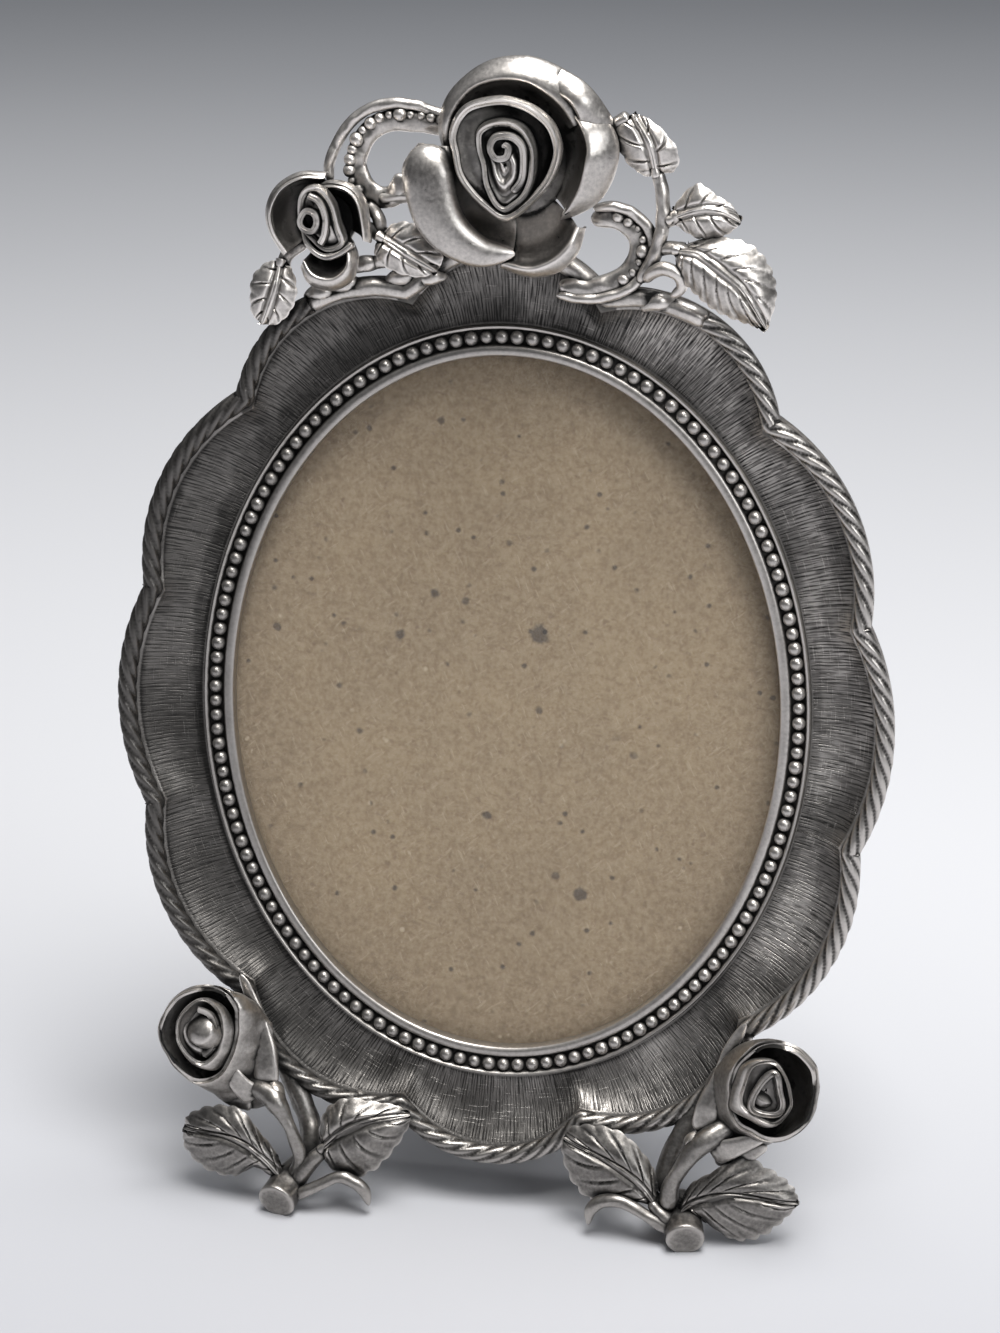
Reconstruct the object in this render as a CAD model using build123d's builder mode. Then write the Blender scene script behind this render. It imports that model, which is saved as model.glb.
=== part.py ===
from build123d import *
from math import atan2, cos, degrees, hypot, pi, radians, sin, tan
import os

# Oval picture frame of cast metal with an antique finish: a dished face with twelve
# scalloped lobes, a rope border, a row of beads, a crest with two roses, two rosebud sprays
# that end in the feet, and a folding easel leg behind.
#
# The pieces are made with the face up, as on a bench: X to the right, Y up the frame and
# Z out of its front, with zero at the middle of the sight opening, level with its edge.
# At the end the whole frame is stood up, leaning back on its feet and its easel leg.
# Lengths are in millimetres and angles in degrees.

# Sight opening and face
sight_half_width = 28.0
sight_half_height = 36.2
side_rim_width = 11.5
end_rim_width = 12.0
side_notch_depth = 1.5
end_notch_depth = 3.0
side_cusp_width = 2.15
end_cusp_width = 2.5
lobe_count = 12
rim_level = 2.2
dish_level = 0.1
rope_width = 1.9

# Lip, bead row and ridge, from the sight edge outwards
lip_width = 1.1
lip_height = 0.4
lip_thickness = 1.0
bead_groove_width = 1.55
bead_groove_depth = 0.35
bead_count = 140
bead_radius = 0.62
bead_height = 0.75
bead_band_thickness = 0.15
bead_sides = 4
bead_taper = 28.0
ridge_width = 0.45
ridge_height = 0.5

# Rope border
rope_band_thickness = 0.5
strand_height = 1.0
strand_pitch = 2.0
strand_angle = 32.0
strand_groove = 0.12
strand_taper = 17.0
strand_reach_share = 0.9

# Collar and pocket behind the face, which hold the glass and the boards
brim_level = -1.8
pocket_lap = 2.4
collar_wall = 2.8
glass_thickness = 1.0
board_thickness = 1.2
cover_thickness = 2.0
pocket_clearance = 0.25

# Roses
large_rose_radius = 9.9
large_rose_height = 6.2
large_foot_radius = 5.2
large_cup_radius = 5.3
large_heart_radius = 3.1
large_heart_height = 8.6
small_rose_radius = 5.1
small_rose_height = 4.2
small_foot_radius = 2.9
small_cup_radius = 2.9
small_heart_radius = 1.7
small_heart_height = 5.4
rose_base_thickness = 1.1
petal_thickness = 0.75
heart_wall = 0.55
small_heart_wall = 0.42
large_heart_turns = 1.5
small_heart_turns = 1.25
petal_steps = 6
heart_steps = 10

# Crest plate, scrolls and stems
crest_plate_level = 0.9
left_scroll_width = 2.6
right_scroll_width = 1.8
scroll_rise = 0.9
crest_stem_width = 1.3
crest_web_width = 2.6
tendril_radius = 0.5

# Leaves
leaf_thickness = 0.75
leaf_pad_radius = 0.75
leaf_pad_height = 1.3

# Sprays, which end in the feet
foot_drop = 53.6
foot_half_spacing = 21.3
foot_forward = 9.0
foot_radius = 2.0
foot_flat_depth = 0.4
bud_radius = 4.3
bud_length = 7.6
bud_wall = 0.55
calyx_radius = 2.5
bud_sides = 10
bud_turns = 1.25
foot_sides = 10

# Stance
lean_angle = 6.0
leg_opening_angle = 20.0

# Easel hinge and leg
hinge_up = 12.0
hinge_plate_width = 16.0
hinge_plate_length = 11.0
hinge_plate_thickness = 0.4
knuckle_radius = 1.2
hinge_pin_radius = 0.6
hinge_running_clearance = 0.05
leg_knuckle_width = 7.4
plate_knuckle_width = 3.2
knuckle_gap = 0.3
pin_head_radius = 1.0
pin_head_length = 0.5
strap_width = 7.0
strap_length = 13.0
plate_corner_radius = 1.0
leg_thickness = 1.8
leg_top_width = 13.0
leg_bottom_width = 25.0
leg_top_gap = 1.7
rivet_radius = 0.6
rivet_sides = 8
rivet_head_radius = 1.1
rivet_head_height = 0.4
rivet_depth = 1.2

# Turn buttons
button_length = 4.6
button_width = 3.0
button_thickness = 0.7
button_angles = (40, 140, 220, 320)
post_radius = 0.75
post_sides = 12
post_head_radius = 1.25
post_head_height = 0.5
post_depth = 1.5
post_shoulder = 0.1
post_running_clearance = 0.05
seat_clearance = 0.02
cut_overrun = 10.0

# Worked out from the sizes above
lobe_half_width = sight_half_width + side_rim_width
lobe_half_height = sight_half_height + end_rim_width
notch_half_width = lobe_half_width - side_notch_depth
notch_half_height = lobe_half_height - end_notch_depth
seat_level = rim_level + rope_band_thickness
scroll_level = seat_level + scroll_rise
glass_front = -lip_thickness
board_front = glass_front - glass_thickness
cover_front = board_front - board_thickness
back_level = cover_front - cover_thickness
pocket_half_width = sight_half_width + pocket_lap
pocket_half_height = sight_half_height + pocket_lap
ridge_inner = lip_width + bead_groove_width
ridge_outer = ridge_inner + ridge_width
lobe_angle = 360 / lobe_count
up_vector = Vector(0, cos(radians(lean_angle)), sin(radians(lean_angle)))
floor_point = Vector(0, -foot_drop, foot_forward)
floor_height = floor_point.dot(up_vector)


def spot(x_share, y_share, level):
    """A place given in shares of the half width and half height over the rope."""
    return Vector(x_share * lobe_half_width, y_share * lobe_half_height, level)


def at_level(place, level):
    """The same place on the bench at another level."""
    return Vector(place.X, place.Y, level)


def oval_at(half_width, half_height, angle):
    """The point of an oval at a parameter angle."""
    return half_width * cos(radians(angle)), half_height * sin(radians(angle))


def between(inner, outer, share):
    """Sizes that lie a share of the way from an inner pair to an outer pair."""
    return tuple(a + (b - a) * share for a, b in zip(inner, outer))


outer_lobes = (lobe_half_width, lobe_half_height)
outer_notches = (notch_half_width, notch_half_height)
inner_lobes = (lobe_half_width - rope_width, lobe_half_height - rope_width)
inner_notches = (notch_half_width - side_cusp_width, notch_half_height - end_cusp_width)
ridge_middle = (ridge_inner + ridge_outer) / 2
dish_edge = (sight_half_width + ridge_middle, sight_half_height + ridge_middle)
pocket_size = (pocket_half_width, pocket_half_height)
collar_size = (pocket_half_width + collar_wall, pocket_half_height + collar_wall)
post_ring_size = between(pocket_size, collar_size, 1 / 2)


def lobe_arc(lobe_size, notch_size, index):
    """The arc of one lobe, from notch to notch over the lobe's top, counted from the right."""
    middle = index * lobe_angle
    return ThreePointArc(
        oval_at(*notch_size, middle - lobe_angle / 2),
        oval_at(*lobe_size, middle),
        oval_at(*notch_size, middle + lobe_angle / 2),
    )


def scalloped_face(lobe_size, notch_size):
    """A flat face with one arc for each lobe."""
    with BuildSketch() as face:
        with BuildLine():
            for index in range(lobe_count):
                lobe_arc(lobe_size, notch_size, index)
        make_face()
    return face.sketch


def oval_band(inner_offset, outer_offset):
    """A flat band that follows the sight edge, between two distances from it."""
    with BuildSketch() as band:
        Ellipse(sight_half_width + outer_offset, sight_half_height + outer_offset)
        Ellipse(
            sight_half_width + inner_offset,
            sight_half_height + inner_offset,
            mode=Mode.SUBTRACT,
        )
    return band.sketch


def flat_face(corners):
    """A flat face with the given corners."""
    return Face(Wire.make_polygon(corners))


def ruled_form(sections):
    """A solid of flat faces, which joins each polygon section to the next corner by corner."""
    rings = [[plane.from_local_coords(corner) for corner in outline] for plane, outline in sections]
    faces = [flat_face(rings[0]), flat_face(rings[-1])]
    for ring, following in zip(rings, rings[1:]):
        for index, corner in enumerate(ring):
            before, ahead_before, ahead = ring[index - 1], following[index - 1], following[index]
            faces.append(flat_face([before, corner, ahead_before]))
            faces.append(flat_face([corner, ahead, ahead_before]))
    return Solid(Shell(faces))


def station(place, direction, level_vector=Vector(0, 0, 1)):
    """A plane square to a direction, with its Y nearest to the level vector."""
    across = level_vector.cross(direction).normalized()
    return Plane(origin=place, x_dir=across, z_dir=direction)


def regular_points(radius, sides):
    """The corners of a regular polygon about zero."""
    return [oval_at(radius, radius, index * 360 / sides) for index in range(sides)]


bar_sides = 6


def bar(places, radii, sides=bar_sides, level_vector=Vector(0, 0, 1)):
    """A faceted bar through places, square to its ends and mitred between them."""
    sections = []
    last = len(places) - 1
    for index, (place, radius) in enumerate(zip(places, radii)):
        direction = places[min(index + 1, last)] - places[max(index - 1, 0)]
        plane = station(place, direction, level_vector)
        sections.append((plane, regular_points(radius, sides)))
    return ruled_form(sections)


# Leaf blades: at each share of the rib's length, the blade's share of its full width
leaf_shares = ((0.0, 0.14), (0.16, 0.68), (0.42, 1.0), (0.68, 0.86), (0.88, 0.46), (1.0, 0.06))
leaf_fold_share = 0.28
leaf_keel_share = 1.3


def leaf_blade(root, tip, left_width, right_width, rib_bow, arch):
    """A folded blade along a rib that bows sideways and arches up between root and tip."""
    run = tip - root
    side = Vector(0, 0, 1).cross(run).normalized()
    sections = []
    for along, width_share in leaf_shares:
        swell = 4 * along * (1 - along)
        place = root + run * along + side * (rib_bow * swell) + Vector(0, 0, arch * swell)
        slope = 4 * (1 - 2 * along)
        direction = run + side * (rib_bow * slope) + Vector(0, 0, arch * slope)
        left, right = left_width * width_share, right_width * width_share
        outline = [
            (left, -left * leaf_fold_share),
            (0, 0),
            (-right, -right * leaf_fold_share),
            (-right, -right * leaf_fold_share - leaf_thickness),
            (0, -leaf_thickness * leaf_keel_share),
            (left, -left * leaf_fold_share - leaf_thickness),
        ]
        sections.append((station(place, direction), outline))
    return ruled_form(sections)


# Petal sections seen from the side: shares of the reach outwards and of the height
open_petal_shares = ((0.0, 0.0), (0.2, 0.42), (0.5, 0.8), (0.84, 1.0), (1.0, 0.88))
cup_petal_shares = ((0.0, 0.0), (0.66, 0.3), (1.0, 0.66), (0.96, 1.0))


def wall_outline(inner_face, wall):
    """The section of a wall: its inner face, and the same line set out by the wall."""
    outer_face = []
    last = len(inner_face) - 1
    for index, (reach, height) in enumerate(inner_face):
        before, after = inner_face[max(index - 1, 0)], inner_face[min(index + 1, last)]
        run, rise = after[0] - before[0], after[1] - before[1]
        length = hypot(run, rise)
        outer_face.append((reach + rise / length * wall, height - run / length * wall))
    outer_face[0] = (inner_face[0][0] + wall, inner_face[0][1])
    return list(inner_face) + outer_face[::-1]


def petal(axis, start, sweep, foot, lip, height, wall, shares, end_share, steps):
    """A petal that stands round an axis from a start angle, lowest and thinnest at its ends."""
    sections = []
    for step in range(steps + 1):
        angle = radians(start + sweep * step / steps)
        swell = end_share + (1 - end_share) * sin(pi * step / steps)
        radial = axis.x_dir * cos(angle) + axis.y_dir * sin(angle)
        plane = Plane(origin=axis.origin, x_dir=radial, z_dir=radial.cross(axis.z_dir))
        face = [(foot + (lip - foot) * out * swell, height * up * swell) for out, up in shares]
        sections.append((plane, wall_outline(face, wall * swell)))
    return ruled_form(sections)


heart_drop_share = 0.12
heart_lean_share = 0.94


def rolled_heart(axis, start, turns, outer_radius, inner_radius, height, wall, steps):
    """A wall rolled up in a spiral, a little higher towards its middle."""
    sections = []
    for step in range(steps + 1):
        along = step / steps
        angle = start + 360 * turns * along
        radius = outer_radius + (inner_radius - outer_radius) * along
        radial = axis.x_dir * cos(radians(angle)) + axis.y_dir * sin(radians(angle))
        plane = Plane(origin=axis.origin, x_dir=radial, z_dir=radial.cross(axis.z_dir))
        top = height * (1 - heart_drop_share * (1 - along))
        lean = radius * (1 - heart_lean_share)
        outline = [(radius - wall, 0), (radius, 0), (radius - lean, top), (radius - lean - wall, top)]
        sections.append((plane, outline))
    return ruled_form(sections)


def leaf_at(root, tip, left_share, right_share, bow_share, arch_share):
    """A leaf blade whose widths, bow and arch are shares of its length."""
    length = (tip - root).length
    return leaf_blade(
        root,
        tip,
        left_share * length,
        right_share * length,
        bow_share * length,
        arch_share * length,
    )


# Cast frame: the bowl of the face, the collar behind it, the dish, lip, groove and ridge.
# Each row gives the shares of the way out, at a lobe and at the ridge between two lobes,
# at which the dish has risen by the last share of its depth.
dish_shares = ((0.0, 0.0, 0.0), (0.78, 0.72, 0.34), (1.0, 1.0, 1.0))

with BuildPart() as cast_frame:
    with BuildSketch(Plane.XY.offset(brim_level)):
        add(scalloped_face(collar_size, collar_size))
    with BuildSketch(Plane.XY.offset(rim_level)):
        add(scalloped_face(outer_lobes, outer_notches))
    loft(ruled=True)
    with BuildSketch(Plane.XY.offset(brim_level)):
        add(scalloped_face(collar_size, collar_size))
    extrude(amount=back_level - brim_level)
    for lobe_share, notch_share, depth_share in dish_shares:
        with BuildSketch(Plane.XY.offset(dish_level + depth_share * (rim_level - dish_level))):
            add(
                scalloped_face(
                    between(dish_edge, inner_lobes, lobe_share),
                    between(dish_edge, inner_notches, notch_share),
                )
            )
    loft(ruled=True, mode=Mode.SUBTRACT)
    with BuildSketch(Plane.XY.offset(dish_level)):
        add(oval_band(ridge_inner, ridge_outer))
    extrude(amount=ridge_height)
    with BuildSketch(Plane.XY.offset(dish_level)):
        add(oval_band(0, lip_width))
    extrude(amount=lip_height - dish_level)
    with BuildSketch(Plane.XY.offset(dish_level)):
        add(oval_band(lip_width, ridge_inner))
    extrude(amount=-bead_groove_depth, mode=Mode.SUBTRACT)
    with BuildSketch(Plane.XY.offset(lip_height)):
        Ellipse(sight_half_width, sight_half_height)
    extrude(amount=back_level - lip_height - cut_overrun, mode=Mode.SUBTRACT)
    with BuildSketch(Plane.XY.offset(glass_front)):
        Ellipse(pocket_half_width, pocket_half_height)
    extrude(amount=back_level - glass_front - cut_overrun, mode=Mode.SUBTRACT)
    with BuildSketch(Plane.XY.offset(back_level)):
        with Locations(*[oval_at(*post_ring_size, angle) for angle in button_angles]):
            Circle(post_radius + seat_clearance)
    extrude(amount=post_depth, mode=Mode.SUBTRACT)
# Bead ring: a thin band in the groove with a row of beads on it
bead_floor = dish_level - bead_groove_depth
bead_top_face = bead_floor + bead_band_thickness

with BuildPart() as bead:
    with BuildSketch(Plane.XY.offset(bead_top_face)):
        RegularPolygon(bead_radius, bead_sides)
    extrude(amount=bead_height, taper=bead_taper)
with BuildPart() as bead_ring:
    with BuildSketch(Plane.XY.offset(bead_floor)):
        add(oval_band(lip_width + seat_clearance, ridge_inner - seat_clearance))
    extrude(amount=bead_band_thickness)
    bead_offset = (lip_width + ridge_inner) / 2
    with BuildLine() as bead_line:
        EllipticalCenterArc(
            (0, 0),
            sight_half_width + bead_offset,
            sight_half_height + bead_offset,
            arc_size=360,
        )
    with Locations(*[bead_line.line @ (index / bead_count) for index in range(bead_count)]):
        add(bead.part)
# Rope border: a flat band all round the rim, with slanted strands where no crest covers it
def strand_places():
    """Where each strand of the rope lies and how it is turned."""
    middle_lobes = between(inner_lobes, outer_lobes, 1 / 2)
    middle_notches = between(inner_notches, outer_notches, 1 / 2)
    places = []
    for index in range(lobe_count):
        with BuildLine() as line:
            lobe_arc(middle_lobes, middle_notches, index)
        arc = line.edge()
        count = int(arc.length / strand_pitch)
        for number in range(count):
            share = (number + 1 / 2) / count
            place, travel = arc @ share, arc % share
            if place.Y < crest_cover_share * lobe_half_height:
                heading = degrees(atan2(travel.Y, travel.X))
                places.append(Location((place.X, place.Y, 0), (0, 0, heading)))
    return places


# The strands stop where they rise past this share of the half height
crest_cover_share = 0.87

with BuildPart() as strand:
    slant = rope_width / 2 / tan(radians(strand_angle))
    half_run = strand_pitch / 2 - strand_groove
    half_width = rope_width / 2 * strand_reach_share
    with BuildSketch(Plane.XY.offset(seat_level)):
        Polygon(
            (slant - half_run, -half_width),
            (slant + half_run, -half_width),
            (half_run - slant, half_width),
            (-half_run - slant, half_width),
        )
    extrude(amount=strand_height, taper=strand_taper)
with BuildPart() as rope_border:
    with BuildSketch(Plane.XY.offset(rim_level)):
        add(scalloped_face(outer_lobes, outer_notches))
        add(scalloped_face(inner_lobes, inner_notches), mode=Mode.SUBTRACT)
    extrude(amount=rope_band_thickness)
    with Locations(*strand_places()):
        add(strand.part)
# Crest plate: seats behind the roses, the two C scrolls and the stems, as one openwork piece
left_scroll_shares = (
    (-0.06, 1.2),
    (-0.17, 1.232),
    (-0.29, 1.226),
    (-0.4, 1.14),
    (-0.36, 1.082),
    (-0.272, 1.118),
)
right_scroll_shares = (
    (0.12, 1.1),
    (0.24, 1.073),
    (0.32, 1.035),
    (0.335, 0.962),
    (0.26, 0.912),
    (0.12, 0.905),
)
right_stem_shares = ((0.365, 1.143), (0.38, 1.102), (0.382, 1.054), (0.374, 1.0), (0.33, 0.93))
branch_shares = (
    ((0.381, 1.048), (0.415, 1.05)),
    ((0.376, 1.0), (0.468, 0.989)),
    ((-0.451, 1.02), (-0.563, 0.92)),
    ((-0.451, 1.02), (-0.3, 0.985)),
    ((-0.3, 0.985), (0.0, 1.1)),
    ((-0.451, 1.02), (-0.37, 1.09)),
    ((-0.3, 0.985), (-0.3, 0.93)),
    ((-0.451, 1.02), (-0.46, 0.9)),
    ((0.02, 1.1), (0.01, 1.0)),
)
crest_web_shares = ((-0.47, 0.9), (-0.25, 0.93), (0.01, 1.02), (0.25, 0.93), (0.4, 0.895))
large_rose_shares = (0.02, 1.149)
small_rose_shares = (-0.451, 1.021)
large_rose_place = spot(*large_rose_shares, 0)
small_rose_place = spot(*small_rose_shares, 0)


def flat_points(shares):
    """Places on the bench plane for a table of shares."""
    return [spot(x_share, y_share, 0) for x_share, y_share in shares]


def arc_chain(places):
    """An arc through the first three places, and arcs that run on from it to each later one."""
    arc = ThreePointArc(*places[:3])
    for place in places[3:]:
        arc = TangentArc(arc @ 1, place, tangent=arc % 1)


with BuildPart() as crest_base:
    with BuildSketch(Plane.XY.offset(crest_plate_level)):
        with Locations(large_rose_place):
            Circle(large_foot_radius)
        with Locations(small_rose_place):
            Circle(small_foot_radius)
        for path, width in (
            (right_stem_shares, crest_stem_width),
            (crest_web_shares, crest_web_width),
        ):
            with BuildLine():
                Spline(*flat_points(path))
            trace(line_width=width)
        for path in branch_shares:
            with BuildLine():
                Line(*flat_points(path))
            trace(line_width=crest_stem_width)
    extrude(amount=seat_level - crest_plate_level)
    for path, width in (
        (left_scroll_shares, left_scroll_width),
        (right_scroll_shares, right_scroll_width),
    ):
        with BuildSketch(Plane.XY.offset(crest_plate_level)):
            with BuildLine():
                arc_chain(flat_points(path))
            trace(line_width=width)
        extrude(amount=scroll_level - crest_plate_level)
    add(cast_frame.part, mode=Mode.SUBTRACT)
    add(rope_border.part, mode=Mode.SUBTRACT)

# Roses: a foot disc with open petals fused to it, and a heart that stands on the disc.
# Each row of petals gives the start and sweep in degrees, and the lip and height as shares
# of the rose's radius and petal height.
large_petal_shares = (
    (28, 140, 1.0, 0.86),
    (-54, 86, 0.99, 0.8),
    (163, 114, 0.97, 1.0),
    (262, 64, 0.98, 0.76),
)
small_petal_shares = ((96, 134, 1.0, 0.92), (-30, 122, 0.98, 1.0), (216, 118, 1.04, 1.0))
cup_wraps = ((100, 206), (282, 198))
cup_foot_share = 0.42
petal_foot_share = 0.82
petal_end_share = 0.52
cup_end_share = 0.9
heart_foot_share = 0.66
cup_height_share = 0.86
heart_core_share = 0.3
heart_start_angle = 60


def rose_petals(place, radius, foot, height, wall, rows):
    """The foot disc of a rose and its open outer petals."""
    axis = Plane(origin=at_level(place, seat_level))
    with BuildPart() as petals:
        with BuildSketch(axis):
            Circle(foot)
        extrude(amount=rose_base_thickness)
        for start, sweep, lip_share, height_share in rows:
            add(
                petal(
                    axis,
                    start,
                    sweep,
                    foot * petal_foot_share,
                    radius * lip_share,
                    height * height_share,
                    wall,
                    open_petal_shares,
                    petal_end_share,
                    petal_steps,
                )
            )
    return petals.part


def rose_heart(place, foot, cup_radius, heart_radius, height, wall, turns):
    """The cup of two wrapped petals and the rolled heart, on a small foot of their own."""
    axis = Plane(origin=at_level(place, seat_level + rose_base_thickness))
    with BuildPart() as heart:
        with BuildSketch(axis):
            Circle(foot * heart_foot_share)
        extrude(amount=wall)
        for start, sweep in cup_wraps:
            add(
                petal(
                    axis,
                    start,
                    sweep,
                    cup_radius * cup_foot_share,
                    cup_radius,
                    height * cup_height_share,
                    wall,
                    cup_petal_shares,
                    cup_end_share,
                    petal_steps,
                )
            )
        add(
            rolled_heart(
                axis,
                heart_start_angle,
                turns,
                heart_radius,
                heart_radius * heart_core_share,
                height,
                wall,
                heart_steps,
            )
        )
    return heart.part
with BuildPart() as large_rose_petals:
    add(
        rose_petals(
            large_rose_place,
            large_rose_radius,
            large_foot_radius,
            large_rose_height,
            petal_thickness,
            large_petal_shares,
        )
    )
    add(crest_base.part, mode=Mode.SUBTRACT)

with BuildPart() as large_rose_heart:
    add(
        rose_heart(
            large_rose_place,
            large_foot_radius,
            large_cup_radius,
            large_heart_radius,
            large_heart_height,
            heart_wall,
            large_heart_turns,
        )
    )
with BuildPart() as small_rose_petals:
    add(
        rose_petals(
            small_rose_place,
            small_rose_radius,
            small_foot_radius,
            small_rose_height,
            heart_wall,
            small_petal_shares,
        )
    )
    add(crest_base.part, mode=Mode.SUBTRACT)

with BuildPart() as small_rose_heart:
    add(
        rose_heart(
            small_rose_place,
            small_foot_radius,
            small_cup_radius,
            small_heart_radius,
            small_heart_height,
            small_heart_wall,
            small_heart_turns,
        )
    )
# Crest leaves: root and tip, then the two widths, bow and arch as shares of the length.
# Each stands on a pad over its stem.
crest_leaf_shares = {
    "upper_right_leaf": ((0.365, 1.143), (0.311, 1.247), 0.42, 0.4, 0.05, 0.1, 0.6),
    "right_upper_leaf": ((0.41, 1.05), (0.572, 1.054), 0.34, 0.34, 0.14, 0.12, 0.5),
    "right_large_leaf": ((0.461, 0.99), (0.648, 0.849), 0.4, 0.28, 0.08, 0.08, 1.9),
    "left_small_leaf": ((-0.56, 0.925), (-0.594, 0.828), 0.42, 0.42, 0.06, 0.12, 1.4),
    "crest_left_leaf": ((-0.3, 0.988), (-0.16, 0.93), 0.32, 0.3, 0.08, 0.1, 0.9),
}


def crest_leaf(root_share, tip_share, left_share, right_share, bow_share, arch_share, lift_share):
    """A leaf of the crest with the pad that it stands on."""
    root = spot(*root_share, seat_level + leaf_pad_height)
    tip = spot(*tip_share, seat_level + leaf_pad_height * (1 + lift_share))
    with BuildPart() as leaf:
        with BuildSketch(Plane(origin=at_level(root, seat_level))):
            RegularPolygon(leaf_pad_radius, bar_sides)
        extrude(amount=leaf_pad_height)
        add(leaf_at(root, tip, left_share, right_share, bow_share, arch_share))
    return leaf.part


crest_leaves = {}
for leaf_name, row in crest_leaf_shares.items():
    with BuildPart() as crest_leaf_piece:
        add(crest_leaf(*row))
        add(rope_border.part, mode=Mode.SUBTRACT)
        add(large_rose_petals.part, mode=Mode.SUBTRACT)
        add(small_rose_petals.part, mode=Mode.SUBTRACT)
    crest_leaves[leaf_name] = crest_leaf_piece

# Tendril: a small hook that lies on the rim beside the large leaf
tendril_shares = ((0.36, 0.936), (0.386, 0.952), (0.42, 0.949), (0.438, 0.922), (0.416, 0.89))

with BuildPart() as tendril:
    tendril_level = seat_level + tendril_radius * cos(pi / bar_sides)
    add(
        bar(
            [spot(*share, tendril_level) for share in tendril_shares],
            [tendril_radius] * len(tendril_shares),
        )
    )
    add(crest_base.part, mode=Mode.SUBTRACT)
# Sprays: each is a set of stems that meet at a knot and end in a cut stub, the foot.
# Places are shares of the half width, the half height and the forward reach of the foot,
# and the last number is a share of the foot's radius.
stub_root_shares = (0.496, -1.035, 0.3, 0.85)
spray_stem_shares = {
    "left": (
        ((0.507, -1.045, 0.62, 0.7), (0.478, -0.988, 0.58, 0.6), (0.41, -0.945, 0.64, 0.34)),
        ((0.481, -0.99, 0.46, 0.55), (0.512, -0.925, 0.3, 0.55), (0.555, -0.835, 0.12, 0.52)),
        ((0.478, -0.988, 0.62, 0.36), (0.49, -0.935, 0.73, 0.32), (0.532, -0.885, 0.78, 0.36),
         (0.556, -0.855, 0.76, 0.55)),
        ((0.507, -1.055, 0.78, 0.32), (0.44, -1.042, 0.8, 0.25), (0.375, -1.022, 0.78, 0.3),
         (0.318, -1.043, 0.8, 0.3), (0.299, -1.08, 0.78, 0.15)),
    ),
    "right": (
        ((0.515, -1.05, 0.62, 0.7), (0.49, -0.978, 0.62, 0.58), (0.522, -0.928, 0.68, 0.46),
         (0.556, -0.886, 0.73, 0.56)),
        ((0.487, -0.985, 0.46, 0.55), (0.512, -0.92, 0.3, 0.55), (0.545, -0.83, 0.12, 0.52)),
        ((0.5, -1.045, 0.72, 0.32), (0.453, -1.017, 0.69, 0.3)),
        ((0.5, -1.065, 0.78, 0.32), (0.423, -1.037, 0.78, 0.26), (0.367, -1.018, 0.78, 0.3),
         (0.311, -1.021, 0.78, 0.3), (0.281, -1.046, 0.78, 0.26), (0.281, -1.08, 0.78, 0.15)),
    ),
}
# Foot leaves: root, tip, the two widths, bow and arch
spray_leaf_shares = {
    "left_outer_leaf": ("left", (0.53, -1.05, 0.75), (0.817, -0.953, 0.66), 0.3, 0.27, -0.1, 0.08),
    "left_inner_leaf": ("left", (0.412, -0.948, 0.66), (0.19, -0.888, 0.62), 0.37, 0.38, 0.04, 0.1),
    "right_outer_leaf": ("right", (0.53, -1.048, 0.75), (0.822, -0.994, 0.66), 0.31, 0.37, 0.12, 0.08),
    "right_inner_leaf": ("right", (0.455, -1.018, 0.7), (0.206, -0.892, 0.62), 0.32, 0.3, -0.05, 0.1),
}
# Buds: the middle of the mouth, the way it faces, and the way down to the stem
bud_shares = {
    "left": ((0.747, -0.701, 1.0), (-0.45, 0.30, 0.84),
             ((0.655, -0.76, 0.36, 0.95), (0.608, -0.822, 0.56, 0.92), (0.567, -0.856, 0.7, 0.42))),
    "right": ((0.749, -0.724, 1.0), (0.42, 0.28, 0.86),
              ((0.66, -0.78, 0.36, 1.0), (0.608, -0.836, 0.58, 0.96), (0.565, -0.88, 0.7, 0.45))),
}
side_signs = {"left": -1, "right": 1}
floor_plane = Plane(origin=floor_point, z_dir=up_vector)


def spray_spot(side, x_share, y_share, level_share):
    """A place of a spray, mirrored to its side."""
    return spot(side_signs[side] * x_share, y_share, level_share * foot_forward)


def foot_middle(side):
    """The middle of the cut end of a foot stub, set so that the surface cuts its underside flat."""
    height = foot_radius - foot_flat_depth - foot_drop
    return Vector(side_signs[side] * foot_half_spacing, height, foot_forward)


def spray(side):
    """The stems of one side, cut flat where the foot stands and where they meet the rim."""
    with BuildPart() as stems:
        stub = [spray_spot(side, *stub_root_shares[:3]), foot_middle(side)]
        add(bar(stub, [foot_radius * stub_root_shares[3], foot_radius], foot_sides, Vector(0, 1, 0)))
        for row in spray_stem_shares[side]:
            places = [spray_spot(side, *place[:3]) for place in row]
            add(bar(places, [foot_radius * place[3] for place in row]))
        split(bisect_by=floor_plane, keep=Keep.TOP)
        add(cast_frame.part, mode=Mode.SUBTRACT)
        add(rope_border.part, mode=Mode.SUBTRACT)
    return stems.part


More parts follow.
